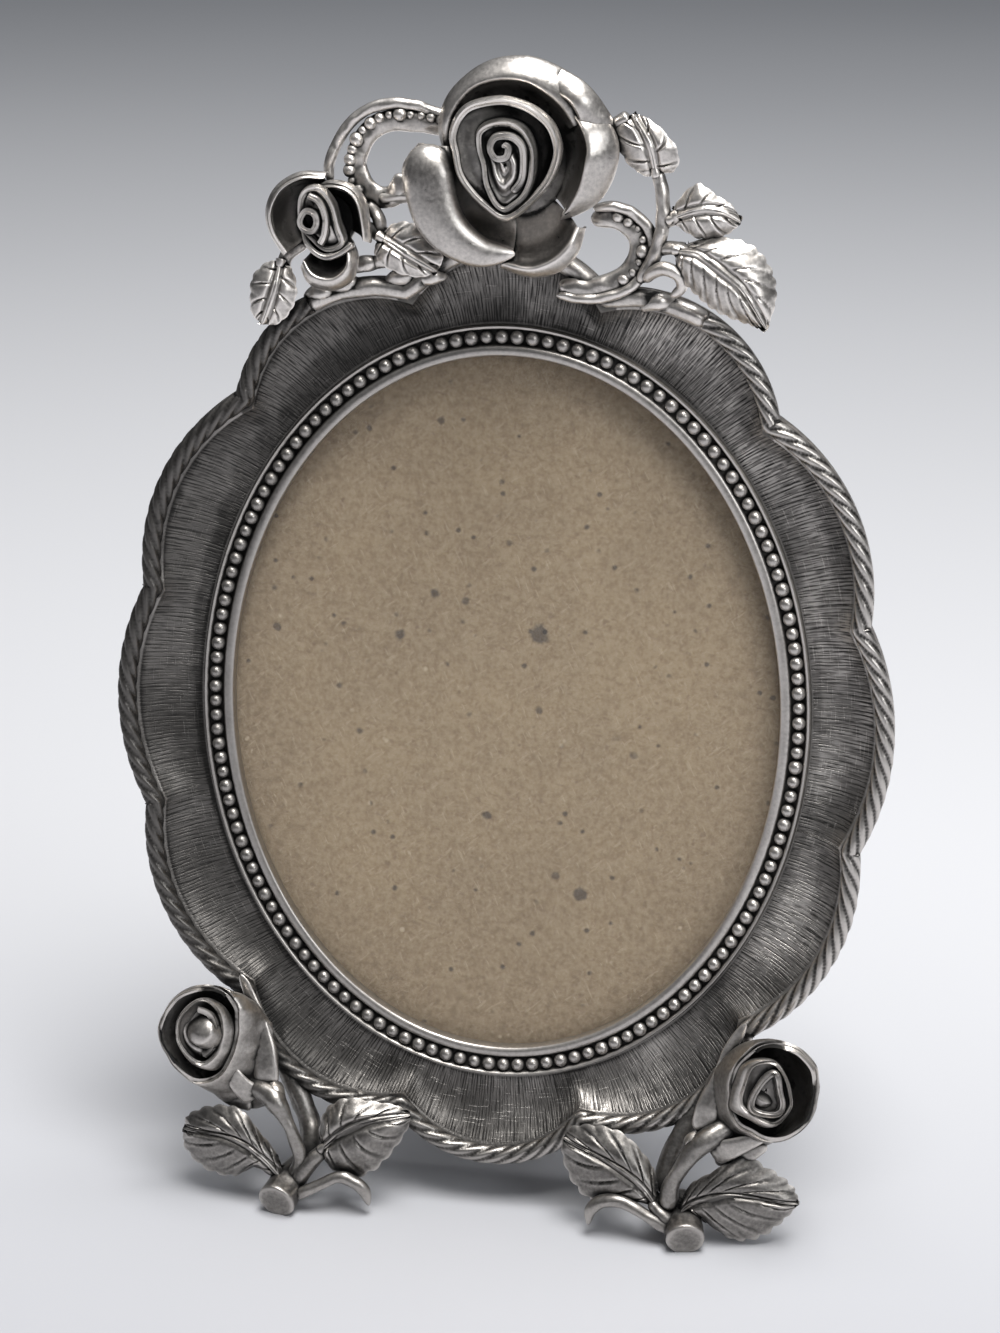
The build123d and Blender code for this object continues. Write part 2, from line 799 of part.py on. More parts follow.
def bud_cup(side):
    """A half open bud: a hollow cup with a rolled heart, and the calyx down to its stem."""
    mouth_shares, facing, calyx_shares = bud_shares[side]
    mouth = spray_spot(side, *mouth_shares)
    facing = Vector(*facing).normalized()
    base = mouth - facing * bud_length
    axis = Plane(origin=base, x_dir=facing.cross(Vector(0, 1, 0)).normalized(), z_dir=facing)
    outside = [
        (axis.offset(bud_length * along), regular_points(bud_radius * out, bud_sides))
        for along, out in bud_profile_shares
    ]
    inside = [
        (axis.offset(bud_length * along), regular_points(bud_radius * out - bud_wall, bud_sides))
        for along, out in bud_hollow_shares
    ]
    with BuildPart() as cup:
        add(ruled_form(outside))
        add(ruled_form(inside), mode=Mode.SUBTRACT)
        add(
            rolled_heart(
                axis.offset(bud_length * bud_core_share),
                heart_start_angle,
                bud_turns,
                bud_radius * bud_heart_share,
                bud_radius * bud_heart_share * heart_core_share,
                bud_length * (bud_heart_top_share - bud_core_share),
                bud_wall,
                heart_steps,
            )
        )
        add(
            bar(
                [spray_spot(side, *place[:3]) for place in calyx_shares],
                [calyx_radius * place[3] for place in calyx_shares],
                bud_sides,
            )
        )
    return cup.part


bud_profile_shares = ((0.0, 0.45), (0.22, 0.8), (0.58, 1.0), (0.9, 1.0), (1.0, 1.06))
bud_hollow_shares = ((0.34, 0.8), (0.58, 1.0), (0.9, 1.0), (1.02, 1.08))
bud_core_share = 0.3
bud_heart_share = 0.6
bud_heart_top_share = 0.86
with BuildPart() as left_spray:
    add(spray("left"))

with BuildPart() as right_spray:
    add(spray("right"))
with BuildPart() as left_bud:
    add(bud_cup("left"))
    for neighbour in (left_spray, cast_frame, rope_border):
        add(neighbour.part, mode=Mode.SUBTRACT)

with BuildPart() as right_bud:
    add(bud_cup("right"))
    for neighbour in (right_spray, cast_frame, rope_border):
        add(neighbour.part, mode=Mode.SUBTRACT)

sprays = {"left": left_spray, "right": right_spray}
buds = {"left": left_bud, "right": right_bud}
spray_leaves = {}
for leaf_name, (side, root_share, tip_share, *widths) in spray_leaf_shares.items():
    with BuildPart() as spray_leaf_piece:
        add(leaf_at(spray_spot(side, *root_share), spray_spot(side, *tip_share), *widths))
        for neighbour in (sprays[side], buds[side], rope_border):
            add(neighbour.part, mode=Mode.SUBTRACT)
    spray_leaves[leaf_name] = spray_leaf_piece
# Glass and boards in the pocket
def pocket_slab(front, thickness):
    """An oval sheet that lies in the pocket with its front face at a level."""
    with BuildPart() as slab:
        with BuildSketch(Plane.XY.offset(front)):
            Ellipse(pocket_half_width - pocket_clearance, pocket_half_height - pocket_clearance)
        extrude(amount=-thickness)
    return slab.part


with BuildPart() as glass_pane:
    add(pocket_slab(glass_front, glass_thickness))

with BuildPart() as backing_board:
    add(pocket_slab(board_front, board_thickness))

# Easel: the hinge plate is riveted to the cover, and the leg hangs from its pin
hinge_level = back_level - hinge_plate_thickness - knuckle_radius
hinge_middle = Vector(0, hinge_up, hinge_level)
down_leg = Vector(0, -cos(radians(leg_opening_angle)), -sin(radians(leg_opening_angle)))
behind_leg = Vector(0, sin(radians(leg_opening_angle)), -cos(radians(leg_opening_angle)))
leg_plane = Plane(origin=hinge_middle, x_dir=Vector(1, 0, 0), z_dir=behind_leg)
hinge_drop = hinge_middle.dot(up_vector) - floor_height
leg_length = hinge_drop / -down_leg.dot(up_vector)
plate_rivet_across_share = 0.36
plate_rivet_up_shares = (0.32, 0.76)
leg_rivet_shares = (0.38, 0.82)
plate_rivet_places = [
    (side * hinge_plate_width * plate_rivet_across_share, hinge_up + hinge_plate_length * up)
    for side in (-1, 1)
    for up in plate_rivet_up_shares
]
leg_rivet_places = [(0, strap_length * along) for along in leg_rivet_shares]
plate_back = back_level - hinge_plate_thickness
knuckle_middle = (leg_knuckle_width + plate_knuckle_width) / 2 + knuckle_gap
knuckle_plane = Plane(origin=hinge_middle, x_dir=Vector(0, 1, 0), z_dir=Vector(1, 0, 0))

with BuildPart() as back_cover:
    add(pocket_slab(cover_front, cover_thickness))
    with BuildSketch(Plane.XY.offset(back_level)):
        with Locations(*plate_rivet_places):
            RegularPolygon(rivet_radius + seat_clearance, rivet_sides)
    extrude(amount=rivet_depth, mode=Mode.SUBTRACT)

with BuildPart() as hinge_plate:
    with BuildSketch(Plane.XY.offset(back_level)):
        with Locations((0, hinge_up + (hinge_plate_length - knuckle_radius) / 2)):
            RectangleRounded(hinge_plate_width, hinge_plate_length + knuckle_radius, plate_corner_radius)
        with Locations((0, hinge_up)):
            Rectangle(leg_knuckle_width + 2 * knuckle_gap, 2 * knuckle_radius, mode=Mode.SUBTRACT)
    extrude(amount=-hinge_plate_thickness)
    for side in (-1, 1):
        with BuildSketch(knuckle_plane.offset(side * knuckle_middle)):
            Circle(knuckle_radius)
            with Locations((0, knuckle_radius / 2)):
                Rectangle(2 * knuckle_radius, knuckle_radius)
        extrude(amount=plate_knuckle_width / 2, both=True)
    with BuildSketch(knuckle_plane.offset(-hinge_plate_width)):
        Circle(hinge_pin_radius + seat_clearance)
    extrude(amount=2 * hinge_plate_width, mode=Mode.SUBTRACT)
    with BuildSketch(Plane.XY.offset(back_level)):
        with Locations(*plate_rivet_places):
            RegularPolygon(rivet_radius + seat_clearance, rivet_sides)
    extrude(amount=-hinge_plate_thickness, mode=Mode.SUBTRACT)

with BuildPart() as hinge_pin:
    pin_reach = knuckle_middle + plate_knuckle_width / 2
    with BuildSketch(knuckle_plane.offset(-pin_reach)):
        Circle(hinge_pin_radius)
    extrude(amount=2 * pin_reach)
    for side in (-1, 1):
        with BuildSketch(knuckle_plane.offset(side * pin_reach)):
            Circle(pin_head_radius)
        extrude(amount=side * pin_head_length)

with BuildPart() as hinge_rivets:
    with BuildSketch(Plane.XY.offset(plate_back)):
        with Locations(*plate_rivet_places):
            RegularPolygon(rivet_radius, rivet_sides)
    extrude(amount=hinge_plate_thickness + rivet_depth)
    with BuildSketch(Plane.XY.offset(plate_back)):
        with Locations(*plate_rivet_places):
            RegularPolygon(rivet_head_radius, rivet_sides)
    extrude(amount=-rivet_head_height)

with BuildPart() as leg_strap:
    with BuildSketch(knuckle_plane.offset(-leg_knuckle_width / 2)):
        Circle(knuckle_radius)
    extrude(amount=leg_knuckle_width)
    with BuildSketch(leg_plane.offset(-hinge_plate_thickness / 2)):
        with Locations((0, strap_length / 2)):
            RectangleRounded(strap_width, strap_length, plate_corner_radius)
    extrude(amount=hinge_plate_thickness)
    with BuildSketch(knuckle_plane.offset(-leg_knuckle_width)):
        Circle(hinge_pin_radius + hinge_running_clearance)
    extrude(amount=2 * leg_knuckle_width, mode=Mode.SUBTRACT)
    with BuildSketch(leg_plane.offset(-hinge_plate_thickness)):
        with Locations(*leg_rivet_places):
            RegularPolygon(rivet_radius + seat_clearance, rivet_sides)
    extrude(amount=2 * hinge_plate_thickness, mode=Mode.SUBTRACT)

with BuildPart() as easel_leg:
    with BuildSketch(leg_plane.offset(hinge_plate_thickness / 2)):
        Polygon(
            (-leg_top_width / 2, leg_top_gap),
            (leg_top_width / 2, leg_top_gap),
            (leg_bottom_width / 2, leg_length + cut_overrun),
            (-leg_bottom_width / 2, leg_length + cut_overrun),
        )
    extrude(amount=leg_thickness)
    split(bisect_by=floor_plane, keep=Keep.TOP)
    with BuildSketch(leg_plane):
        with Locations(*leg_rivet_places):
            RegularPolygon(rivet_radius + seat_clearance, rivet_sides)
    extrude(amount=leg_thickness + cut_overrun, mode=Mode.SUBTRACT)

with BuildPart() as leg_rivets:
    with BuildSketch(leg_plane.offset(-hinge_plate_thickness / 2)):
        with Locations(*leg_rivet_places):
            RegularPolygon(rivet_radius, rivet_sides)
    extrude(amount=hinge_plate_thickness + leg_thickness)
    with BuildSketch(leg_plane.offset(-hinge_plate_thickness / 2)):
        with Locations(*leg_rivet_places):
            RegularPolygon(rivet_head_radius, rivet_sides)
    extrude(amount=-rivet_head_height)
    with BuildSketch(leg_plane.offset(hinge_plate_thickness / 2 + leg_thickness)):
        with Locations(*leg_rivet_places):
            RegularPolygon(rivet_head_radius, rivet_sides)
    extrude(amount=rivet_head_height)
# Turn buttons, which hold the boards in, and the posts that they turn on
turn_buttons = {}
for number, angle in enumerate(button_angles, 1):
    post = Vector(*oval_at(*post_ring_size, angle))
    square_out = Vector(post.X / post_ring_size[0] ** 2, post.Y / post_ring_size[1] ** 2)
    inward = degrees(atan2(-square_out.Y, -square_out.X))
    button_plane = Plane(origin=at_level(post, back_level - post_shoulder)).rotated((0, 0, inward))
    with BuildPart() as turn_button:
        with BuildSketch(button_plane):
            with Locations((button_length / 2, 0)):
                SlotCenterToCenter(button_length, button_width)
            Circle(post_radius + post_running_clearance, mode=Mode.SUBTRACT)
        extrude(amount=-button_thickness)
    turn_buttons[f"turn_button_{number}"] = turn_button

with BuildPart() as turn_button_posts:
    post_places = [oval_at(*post_ring_size, angle) for angle in button_angles]
    post_root = back_level + post_depth
    post_head_level = back_level - post_shoulder - button_thickness - post_running_clearance
    with BuildSketch(Plane.XY.offset(post_root)):
        with Locations(*post_places):
            RegularPolygon(post_radius, post_sides)
    extrude(amount=post_head_level - post_root)
    for level, amount in ((back_level, -post_shoulder), (post_head_level, -post_head_height)):
        with BuildSketch(Plane.XY.offset(level)):
            with Locations(*post_places):
                RegularPolygon(post_head_radius, rivet_sides)
        extrude(amount=amount)
# Stand the frame up: lean it back, set its feet on the table and centre it over the origin
pieces = {
    "cast_frame": cast_frame,
    "rope_border": rope_border,
    "bead_ring": bead_ring,
    "crest_base": crest_base,
    "large_rose_petals": large_rose_petals,
    "large_rose_heart": large_rose_heart,
    "small_rose_petals": small_rose_petals,
    "small_rose_heart": small_rose_heart,
    **crest_leaves,
    "tendril": tendril,
    "left_spray": left_spray,
    "right_spray": right_spray,
    "left_bud": left_bud,
    "right_bud": right_bud,
    **spray_leaves,
    "glass_pane": glass_pane,
    "backing_board": backing_board,
    "back_cover": back_cover,
    "hinge_plate": hinge_plate,
    "hinge_pin": hinge_pin,
    "hinge_rivets": hinge_rivets,
    "leg_strap": leg_strap,
    "easel_leg": easel_leg,
    "leg_rivets": leg_rivets,
    **turn_buttons,
    "turn_button_posts": turn_button_posts,
}

lean_plane = Plane(
    origin=Vector(0, 0, -floor_height),
    x_dir=Vector(1, 0, 0),
    z_dir=Vector(0, -cos(radians(lean_angle)), sin(radians(lean_angle))),
)
leaning = {name: piece.part.moved(lean_plane.location) for name, piece in pieces.items()}
boxes = [part.bounding_box() for part in leaning.values()]
middle_across = (min(box.min.X for box in boxes) + max(box.max.X for box in boxes)) / 2
middle_deep = (min(box.min.Y for box in boxes) + max(box.max.Y for box in boxes)) / 2
centring = Location((-middle_across, -middle_deep, 0))

os.makedirs("parts", exist_ok=True)
for name, part in leaning.items():
    finished = part.moved(centring)
    finished.label = name
    export_step(finished, f"parts/{name}.step")


def standing(place):
    """Where a place of the bench lies on the standing frame."""
    return centring.position + lean_plane.from_local_coords(place)


# Places that the joints and the faces it rests on are known by
print("hinge of the leg", standing(hinge_middle))
for number, place in enumerate(post_places, 1):
    print("turn button", number, standing(Vector(*place, back_level)))
for name in ("left_spray", "right_spray", "easel_leg"):
    underside = leaning[name].moved(centring).faces().sort_by(Axis.Z)[0]
    print("underside of", name, underside.center(), "area", round(underside.area, 2))
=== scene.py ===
"""Oval picture frame of antique pewter with roses: the looks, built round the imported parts.

Lengths are in millimetres on the bench, where the frame lies face up with X to the right, Y up
the frame and Z out of its front, and zero at the middle of the sight opening. The Bench class
carries them to the standing frame, in metres.
"""
import logging
from dataclasses import dataclass, field
from enum import Enum
from math import cos, pi, radians, sin
from typing import Sequence

import bmesh
import bpy
import numpy as np
from mathutils import Matrix, Vector
from mathutils.bvhtree import BVHTree


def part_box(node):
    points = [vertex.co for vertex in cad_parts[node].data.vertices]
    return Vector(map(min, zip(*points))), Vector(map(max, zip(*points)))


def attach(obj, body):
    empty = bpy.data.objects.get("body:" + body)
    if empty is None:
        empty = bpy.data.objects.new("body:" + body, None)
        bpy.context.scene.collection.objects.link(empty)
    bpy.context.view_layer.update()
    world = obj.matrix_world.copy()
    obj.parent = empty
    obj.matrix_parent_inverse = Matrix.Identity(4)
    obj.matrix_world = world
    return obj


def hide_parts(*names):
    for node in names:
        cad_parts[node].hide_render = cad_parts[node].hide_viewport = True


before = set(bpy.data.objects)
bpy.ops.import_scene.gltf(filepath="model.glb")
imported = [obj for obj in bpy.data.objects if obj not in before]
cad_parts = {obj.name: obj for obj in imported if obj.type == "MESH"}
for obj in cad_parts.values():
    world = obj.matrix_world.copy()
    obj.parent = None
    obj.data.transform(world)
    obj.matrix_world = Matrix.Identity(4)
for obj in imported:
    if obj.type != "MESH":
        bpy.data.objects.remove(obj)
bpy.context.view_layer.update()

log = logging.getLogger("rose_frame")
Place = tuple[float, float, float]
Colour = tuple[float, float, float, float]
Line = Sequence[Place]
Socket = bpy.types.NodeSocket
Piece = bpy.types.Object


def grey(value: float, warmth: float = 0.0) -> Colour:
    """A grey of a linear value, a little warmer or cooler."""
    return (value * (1 + warmth), value, value * (1 - warmth), 1.0)


class Body(Enum):
    """The CAD bodies that pieces ride on."""

    FRAME = "frame"
    LEG = "leg"


class Slot(Enum):
    """The material slots of the record."""

    PEWTER = "antique_pewter"
    GLASS = "clear_glass"
    STEEL = "hinge_steel"


@dataclass(frozen=True)
class Bench:
    """Carries places from the bench, in millimetres, to the standing frame, in metres."""

    lean: float = radians(6.0)
    glass_middle: float = -1.5
    scale: float = 0.001

    def turned(self, vectors: np.ndarray) -> np.ndarray:
        """Directions of the bench as directions of the standing frame.

        Args:
            vectors: bench directions, with their three numbers last.

        Returns:
            The turned directions.
        """
        x, y, z = vectors[..., 0], vectors[..., 1], vectors[..., 2]
        c, s = cos(self.lean), sin(self.lean)
        return np.stack([x, s * y - c * z, c * y + s * z], axis=-1)

    def standing(self, places: np.ndarray) -> np.ndarray:
        """Stands places up, where the glass pane of the frame says.

        Args:
            places: bench places in millimetres, with their three numbers last.

        Returns:
            The places in metres, none of them under the floor.
        """
        low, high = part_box("glass_pane")
        middle = (np.array(low) + np.array(high)) / 2
        offset = self.turned(np.array([0.0, 0.0, self.glass_middle])) * self.scale
        stood = self.turned(np.asarray(places, float)) * self.scale + middle - offset
        stood[..., 2] = np.maximum(stood[..., 2], 0.0)
        return stood


bench = Bench()


def unit(vectors: np.ndarray) -> np.ndarray:
    """Vectors scaled to length one."""
    return vectors / np.maximum(np.linalg.norm(vectors, axis=-1, keepdims=True), 1e-9)


def smoothed(places: Sequence, count: int, closed: bool = False) -> np.ndarray:
    """Points of a smooth curve that runs through places.

    Args:
        places: the places, or rows of places, that the curve runs through.
        count: how many points to give.
        closed: whether the curve returns to its first place.

    Returns:
        An array of count points.
    """
    knots = np.asarray(places, float)
    if closed:
        padded = np.concatenate([knots[-1:], knots, knots[:2]])
        spans = len(knots)
    else:
        padded = np.concatenate([2 * knots[:1] - knots[1:2], knots, 2 * knots[-1:] - knots[-2:-1]])
        spans = len(knots) - 1
    along = np.linspace(0, spans, count, endpoint=not closed)
    index = np.minimum(along.astype(int), spans - 1)
    t = (along - index).reshape((-1,) + (1,) * (knots.ndim - 1))
    a, b, c, d = (padded[index + step] for step in range(4))
    return 0.5 * (2 * b + (c - a) * t + (2 * a - 5 * b + 4 * c - d) * t**2 + (3 * b - a - 3 * c + d) * t**3)


def ripple(points: np.ndarray, size: float, seed: float = 0.0) -> np.ndarray:
    """A smooth, uneven number from -1 to 1 for each point, as hand work leaves.

    Args:
        points: bench places.
        size: the usual size of one unevenness, in millimetres.
        seed: a number that shifts the pattern.

    Returns:
        One number for each point.
    """
    x, y, z = (points[..., k] * 2 * pi / size for k in range(3))
    first = np.sin(x * 0.83 + 1.3 * np.sin(y * 0.61 + seed) + seed)
    second = np.sin(y * 0.97 + 1.1 * np.sin(z * 0.73 + x * 0.31) + 2 * seed)
    third = np.sin(z * 1.13 + 0.9 * np.sin(x * 0.57 - y * 0.41) - seed)
    return (first + second + third) / 3


@dataclass
class Form:
    """Points on the bench and the faces between them."""

    points: np.ndarray
    faces: list[np.ndarray]
    trace: np.ndarray | None = None
    parts: list[int] = field(default_factory=list)

    def sizes(self) -> list[int]:
        """How many points each closed part has."""
        return self.parts or [len(self.points)]

    @staticmethod
    def joined(forms: Sequence["Form"]) -> "Form":
        """Several forms as one, with their faces kept apart.

        Args:
            forms: the forms.

        Returns:
            The joined form, which knows the size of each part.
        """
        offset = 0
        faces = []
        parts = []
        for form in forms:
            faces += [block + offset for block in form.faces]
            offset += len(form.points)
            parts += form.sizes()
        return Form(np.concatenate([form.points for form in forms]), faces, parts=parts)


def grid_faces(
    rows: int, columns: int, close_rows: bool = False, close_columns: bool = False,
) -> np.ndarray:
    """The four-cornered faces of a grid of points.

    Args:
        rows: how many rows of points there are.
        columns: how many points a row has.
        close_rows: whether the last row joins the first.
        close_columns: whether the last column joins the first.

    Returns:
        Corner numbers, four to a face.
    """
    row, column = np.meshgrid(
        np.arange(rows if close_rows else rows - 1),
        np.arange(columns if close_columns else columns - 1), indexing="ij",
    )
    next_row, next_column = (row + 1) % rows, (column + 1) % columns
    corners = [
        row * columns + column, row * columns + next_column, next_row * columns + next_column,
        next_row * columns + column,
    ]
    return np.stack(corners, axis=-1).reshape(-1, 4)


def tube(path: np.ndarray, radii: Sequence, sides: int = 16, flat: float = 1.0) -> Form:
    """A closed bar along a path, with its own radius at each point.

    Args:
        path: the points of its middle line.
        radii: one radius, or one for each point.
        sides: the points round it.
        flat: its height as a share of its width.

    Returns:
        The form of the bar, with closed ends.
    """
    path = np.asarray(path, float)
    radius = np.broadcast_to(np.asarray(radii, float), (len(path),))
    run = unit(np.gradient(path, axis=0))
    lift = np.where(np.abs(run[:, 2:3]) > 0.9, [[0.0, 1.0, 0.0]], [[0.0, 0.0, 1.0]])
    across = unit(np.cross(lift, run))
    rise = np.cross(run, across)
    turn = np.arange(sides) * 2 * pi / sides
    level = np.cos(turn)[None, :, None] * across[:, None]
    ring = level + flat * np.sin(turn)[None, :, None] * rise[:, None]
    points = (path[:, None] + radius[:, None, None] * ring).reshape(-1, 3)
    count = len(points)
    first, last = np.arange(sides), np.arange(count - sides, count)
    caps = [
        np.stack([np.full(sides, count), np.roll(first, -1), first], axis=-1),
        np.stack([np.full(sides, count + 1), last, np.roll(last, -1)], axis=-1),
    ]
    points = np.concatenate([points, path[:1], path[-1:]])
    return Form(points, [grid_faces(len(path), sides, close_columns=True), *caps])


def rounded(count: int, share: float = 0.12, tip: float = 0.25) -> np.ndarray:
    """Shares of a bar's radius that round off its two ends.

    Args:
        count: how many rings the bar has.
        share: the length of a rounded end, as a share of the bar.
        tip: the radius at the very end, as a share.

    Returns:
        One share for each ring.
    """
    along = np.linspace(0, 1, count)
    near = np.minimum(along, 1 - along) / share
    return tip + (1 - tip) * np.sqrt(np.clip(1 - (1 - np.clip(near, 0, 1)) ** 2, 0, 1))


def rod(
    places: Line, radii: Sequence[float], flat: float = 1.0, steps: int = 8, sides: int = 14,
) -> Form:
    """A smooth bar with rounded ends through a few places, each with its radius.

    Args:
        places: the places of its middle line.
        radii: the radius at each place.
        flat: its height as a share of its width.
        steps: the rings from one place to the next.
        sides: the points round it.

    Returns:
        The form of the bar.
    """
    count = steps * (len(places) - 1) + 1
    sizes = smoothed([[radius] for radius in radii], count)[:, 0]
    return tube(smoothed(places, count), sizes * rounded(count), sides, flat)


def shell(grid: np.ndarray, wall: float, closed: bool = False, edge: float = 0.35) -> Form:
    """A sheet with a thickness: a grid of points and a copy set back from it.

    Args:
        grid: rows and columns of points.
        wall: the thickness, in millimetres.
        closed: whether the last row joins the first.
        edge: the thickness at its free edges, as a share of the wall.

    Returns:
        The closed form.
    """
    rows, columns = grid.shape[:2]
    if closed:
        padded = np.concatenate([grid[-1:], grid, grid[:1]])
        along = np.gradient(padded, axis=0)[1:-1]
    else:
        along = np.gradient(grid, axis=0)
    normal = unit(np.cross(along, np.gradient(grid, axis=1)))
    if normal[..., 2].mean() < 0:
        normal = -normal
    thick = np.full((rows, columns), wall, float)
    rim = np.array([edge, (edge + 1) / 2 + 0.1])
    thick[:, -2:] = np.minimum(thick[:, -2:], wall * rim[::-1])
    if not closed:
        thick[:2] = np.minimum(thick[:2], wall * rim[:, None])
        thick[-2:] = np.minimum(thick[-2:], wall * rim[::-1, None])
    back = grid - normal * thick[..., None]
    total = rows * columns
    front_faces = grid_faces(rows, columns, close_rows=closed)
    ids = np.arange(total).reshape(rows, columns)
    if closed:
        loops = [ids[:, 0], ids[::-1, -1]]
    else:
        loops = [np.concatenate([ids[0, :], ids[1:, -1], ids[-1, -2::-1], ids[-2:0:-1, 0]])]
    sides = [
        np.stack(
            [loop, np.roll(loop, -1), np.roll(loop, -1) + total, loop + total], -1,
        ) for loop in loops
    ]
    points = np.concatenate([grid.reshape(-1, 3), back.reshape(-1, 3)])
    return Form(points, [front_faces, front_faces[:, ::-1] + total, *sides])


class Value:
    """A socket of a node tree that takes part in Python arithmetic."""

    def __init__(self, nodes: "Nodes", socket: Socket) -> None:
        """Keeps the socket and the tree that its sums go into."""
        self.nodes = nodes
        self.socket = socket

    def _sum(self, operation: str, first: object, second: object) -> "Value":
        """One Math node on two values."""
        return self.nodes.value("ShaderNodeMath", {0: first, 1: second}, operation=operation)

    def __add__(self, other: object) -> "Value":
        """The sum."""
        return self._sum("ADD", self, other)

    __radd__ = __add__

    def __sub__(self, other: object) -> "Value":
        """The difference."""
        return self._sum("SUBTRACT", self, other)

    def __rsub__(self, other: object) -> "Value":
        """The difference, the other way round."""
        return self._sum("SUBTRACT", other, self)

    def __mul__(self, other: object) -> "Value":
        """The product."""
        return self._sum("MULTIPLY", self, other)

    __rmul__ = __mul__

    def __truediv__(self, other: object) -> "Value":
        """The quotient."""
        return self._sum("DIVIDE", self, other)

    def __pow__(self, other: object) -> "Value":
        """The power."""
        return self._sum("POWER", self, other)

    def __abs__(self) -> "Value":
        """The size without its sign."""
        return self._sum("ABSOLUTE", self, 0.0)

    def sine(self) -> "Value":
        """The sine."""
        return self._sum("SINE", self, 0.0)

    def ramp(self, low: float, high: float) -> "Value":
        """Runs smoothly from 0 at low to 1 at high.

        Args:
            low: where the run starts.
            high: where it ends, which may lie under low.

        Returns:
            The ramped value.
        """
        inputs = {"Value": self, "From Min": low, "From Max": high}
        return self.nodes.value("ShaderNodeMapRange", inputs, interpolation_type="SMOOTHSTEP")


class Nodes:
    """Adds nodes to one tree."""

    def __init__(self, tree: bpy.types.NodeTree) -> None:
        """Keeps the tree."""
        self.tree = tree

    def add(self, kind: str, inputs: dict | None = None, **settings: object) -> bpy.types.Node:
        """Adds a node, sets its settings and then its sockets.

        Args:
            kind: the node's type.
            inputs: what each socket takes, by its name or number, where a node gives its first output.
            settings: the node's properties, by name.

        Returns:
            The node.
        """
        node = self.tree.nodes.new(kind)
        for name, value in settings.items():
            setattr(node, name, value)
        for name, value in (inputs or {}).items():
            if isinstance(value, Value):
                value = value.socket
            elif isinstance(value, bpy.types.Node):
                value = value.outputs[0]
            if isinstance(value, Socket):
                self.tree.links.new(value, node.inputs[name])
            else:
                node.inputs[name].default_value = value
        return node

    def value(self, kind: str, inputs: dict | None = None, output: object = 0, **settings: object) -> Value:
        """Adds a node and gives one of its outputs for sums."""
        return Value(self, self.add(kind, inputs, **settings).outputs[output])

    def attribute(self, name: str) -> Value:
        """The number that each point of a piece keeps under a name."""
        return self.value("ShaderNodeAttribute", output="Fac", attribute_name=name)

    def noise(self, place: object, scale: float, detail: float = 4.0, roughness: float = 0.55) -> Value:
        """Cloudy noise at a scale, from 0 to 1."""
        inputs = {"Vector": place, "Scale": scale, "Detail": detail, "Roughness": roughness}
        return self.value("ShaderNodeTexNoise", inputs)

    def cells(self, place: object, scale: float) -> Value:
        """Distance to the nearest of many scattered points."""
        inputs = {"Vector": place, "Scale": scale}
        return self.value("ShaderNodeTexVoronoi", inputs, "Distance", feature="F1")

    def stretched(self, place: object, scales: Place) -> Socket:
        """A place with each of its numbers scaled."""
        return self.add("ShaderNodeVectorMath", {0: place, 1: scales}, operation="MULTIPLY").outputs[0]

    def mix(self, share: object, first: object, second: object) -> Socket:
        """A colour between two colours."""
        return self.add("ShaderNodeMix", {0: share, 6: first, 7: second}, data_type="RGBA").outputs[2]


@dataclass(frozen=True)
class Finish:
    """A named finish, whose material is made once."""

    name: str

    def surface(self, nodes: Nodes, place: Socket) -> dict:
        """The inputs of the finish's shader, which each finish gives for itself."""
        raise NotImplementedError

    def material(self) -> bpy.types.Material:
        """Makes the finish's material, or finds it where it is made already.

        Returns:
            The material.
        """
        found = bpy.data.materials.get(self.name)
        if found is not None:
            return found
        made = bpy.data.materials.new(self.name)
        made.use_nodes = True
        made.node_tree.nodes.clear()
        nodes = Nodes(made.node_tree)
        place = nodes.add("ShaderNodeTexCoord").outputs["Object"]
        shader = nodes.add("ShaderNodeBsdfPrincipled", self.surface(nodes, place))
        nodes.add("ShaderNodeOutputMaterial", {0: shader})
        return made

    def bump(self, nodes: Nodes, height: Value, depth: float) -> Socket:
        """A bumped normal, for a relief of a real depth in millimetres."""
        inputs = {"Height": height, "Distance": depth * bench.scale, "Strength": 1.0}
        return nodes.add("ShaderNodeBump", inputs).outputs[0]


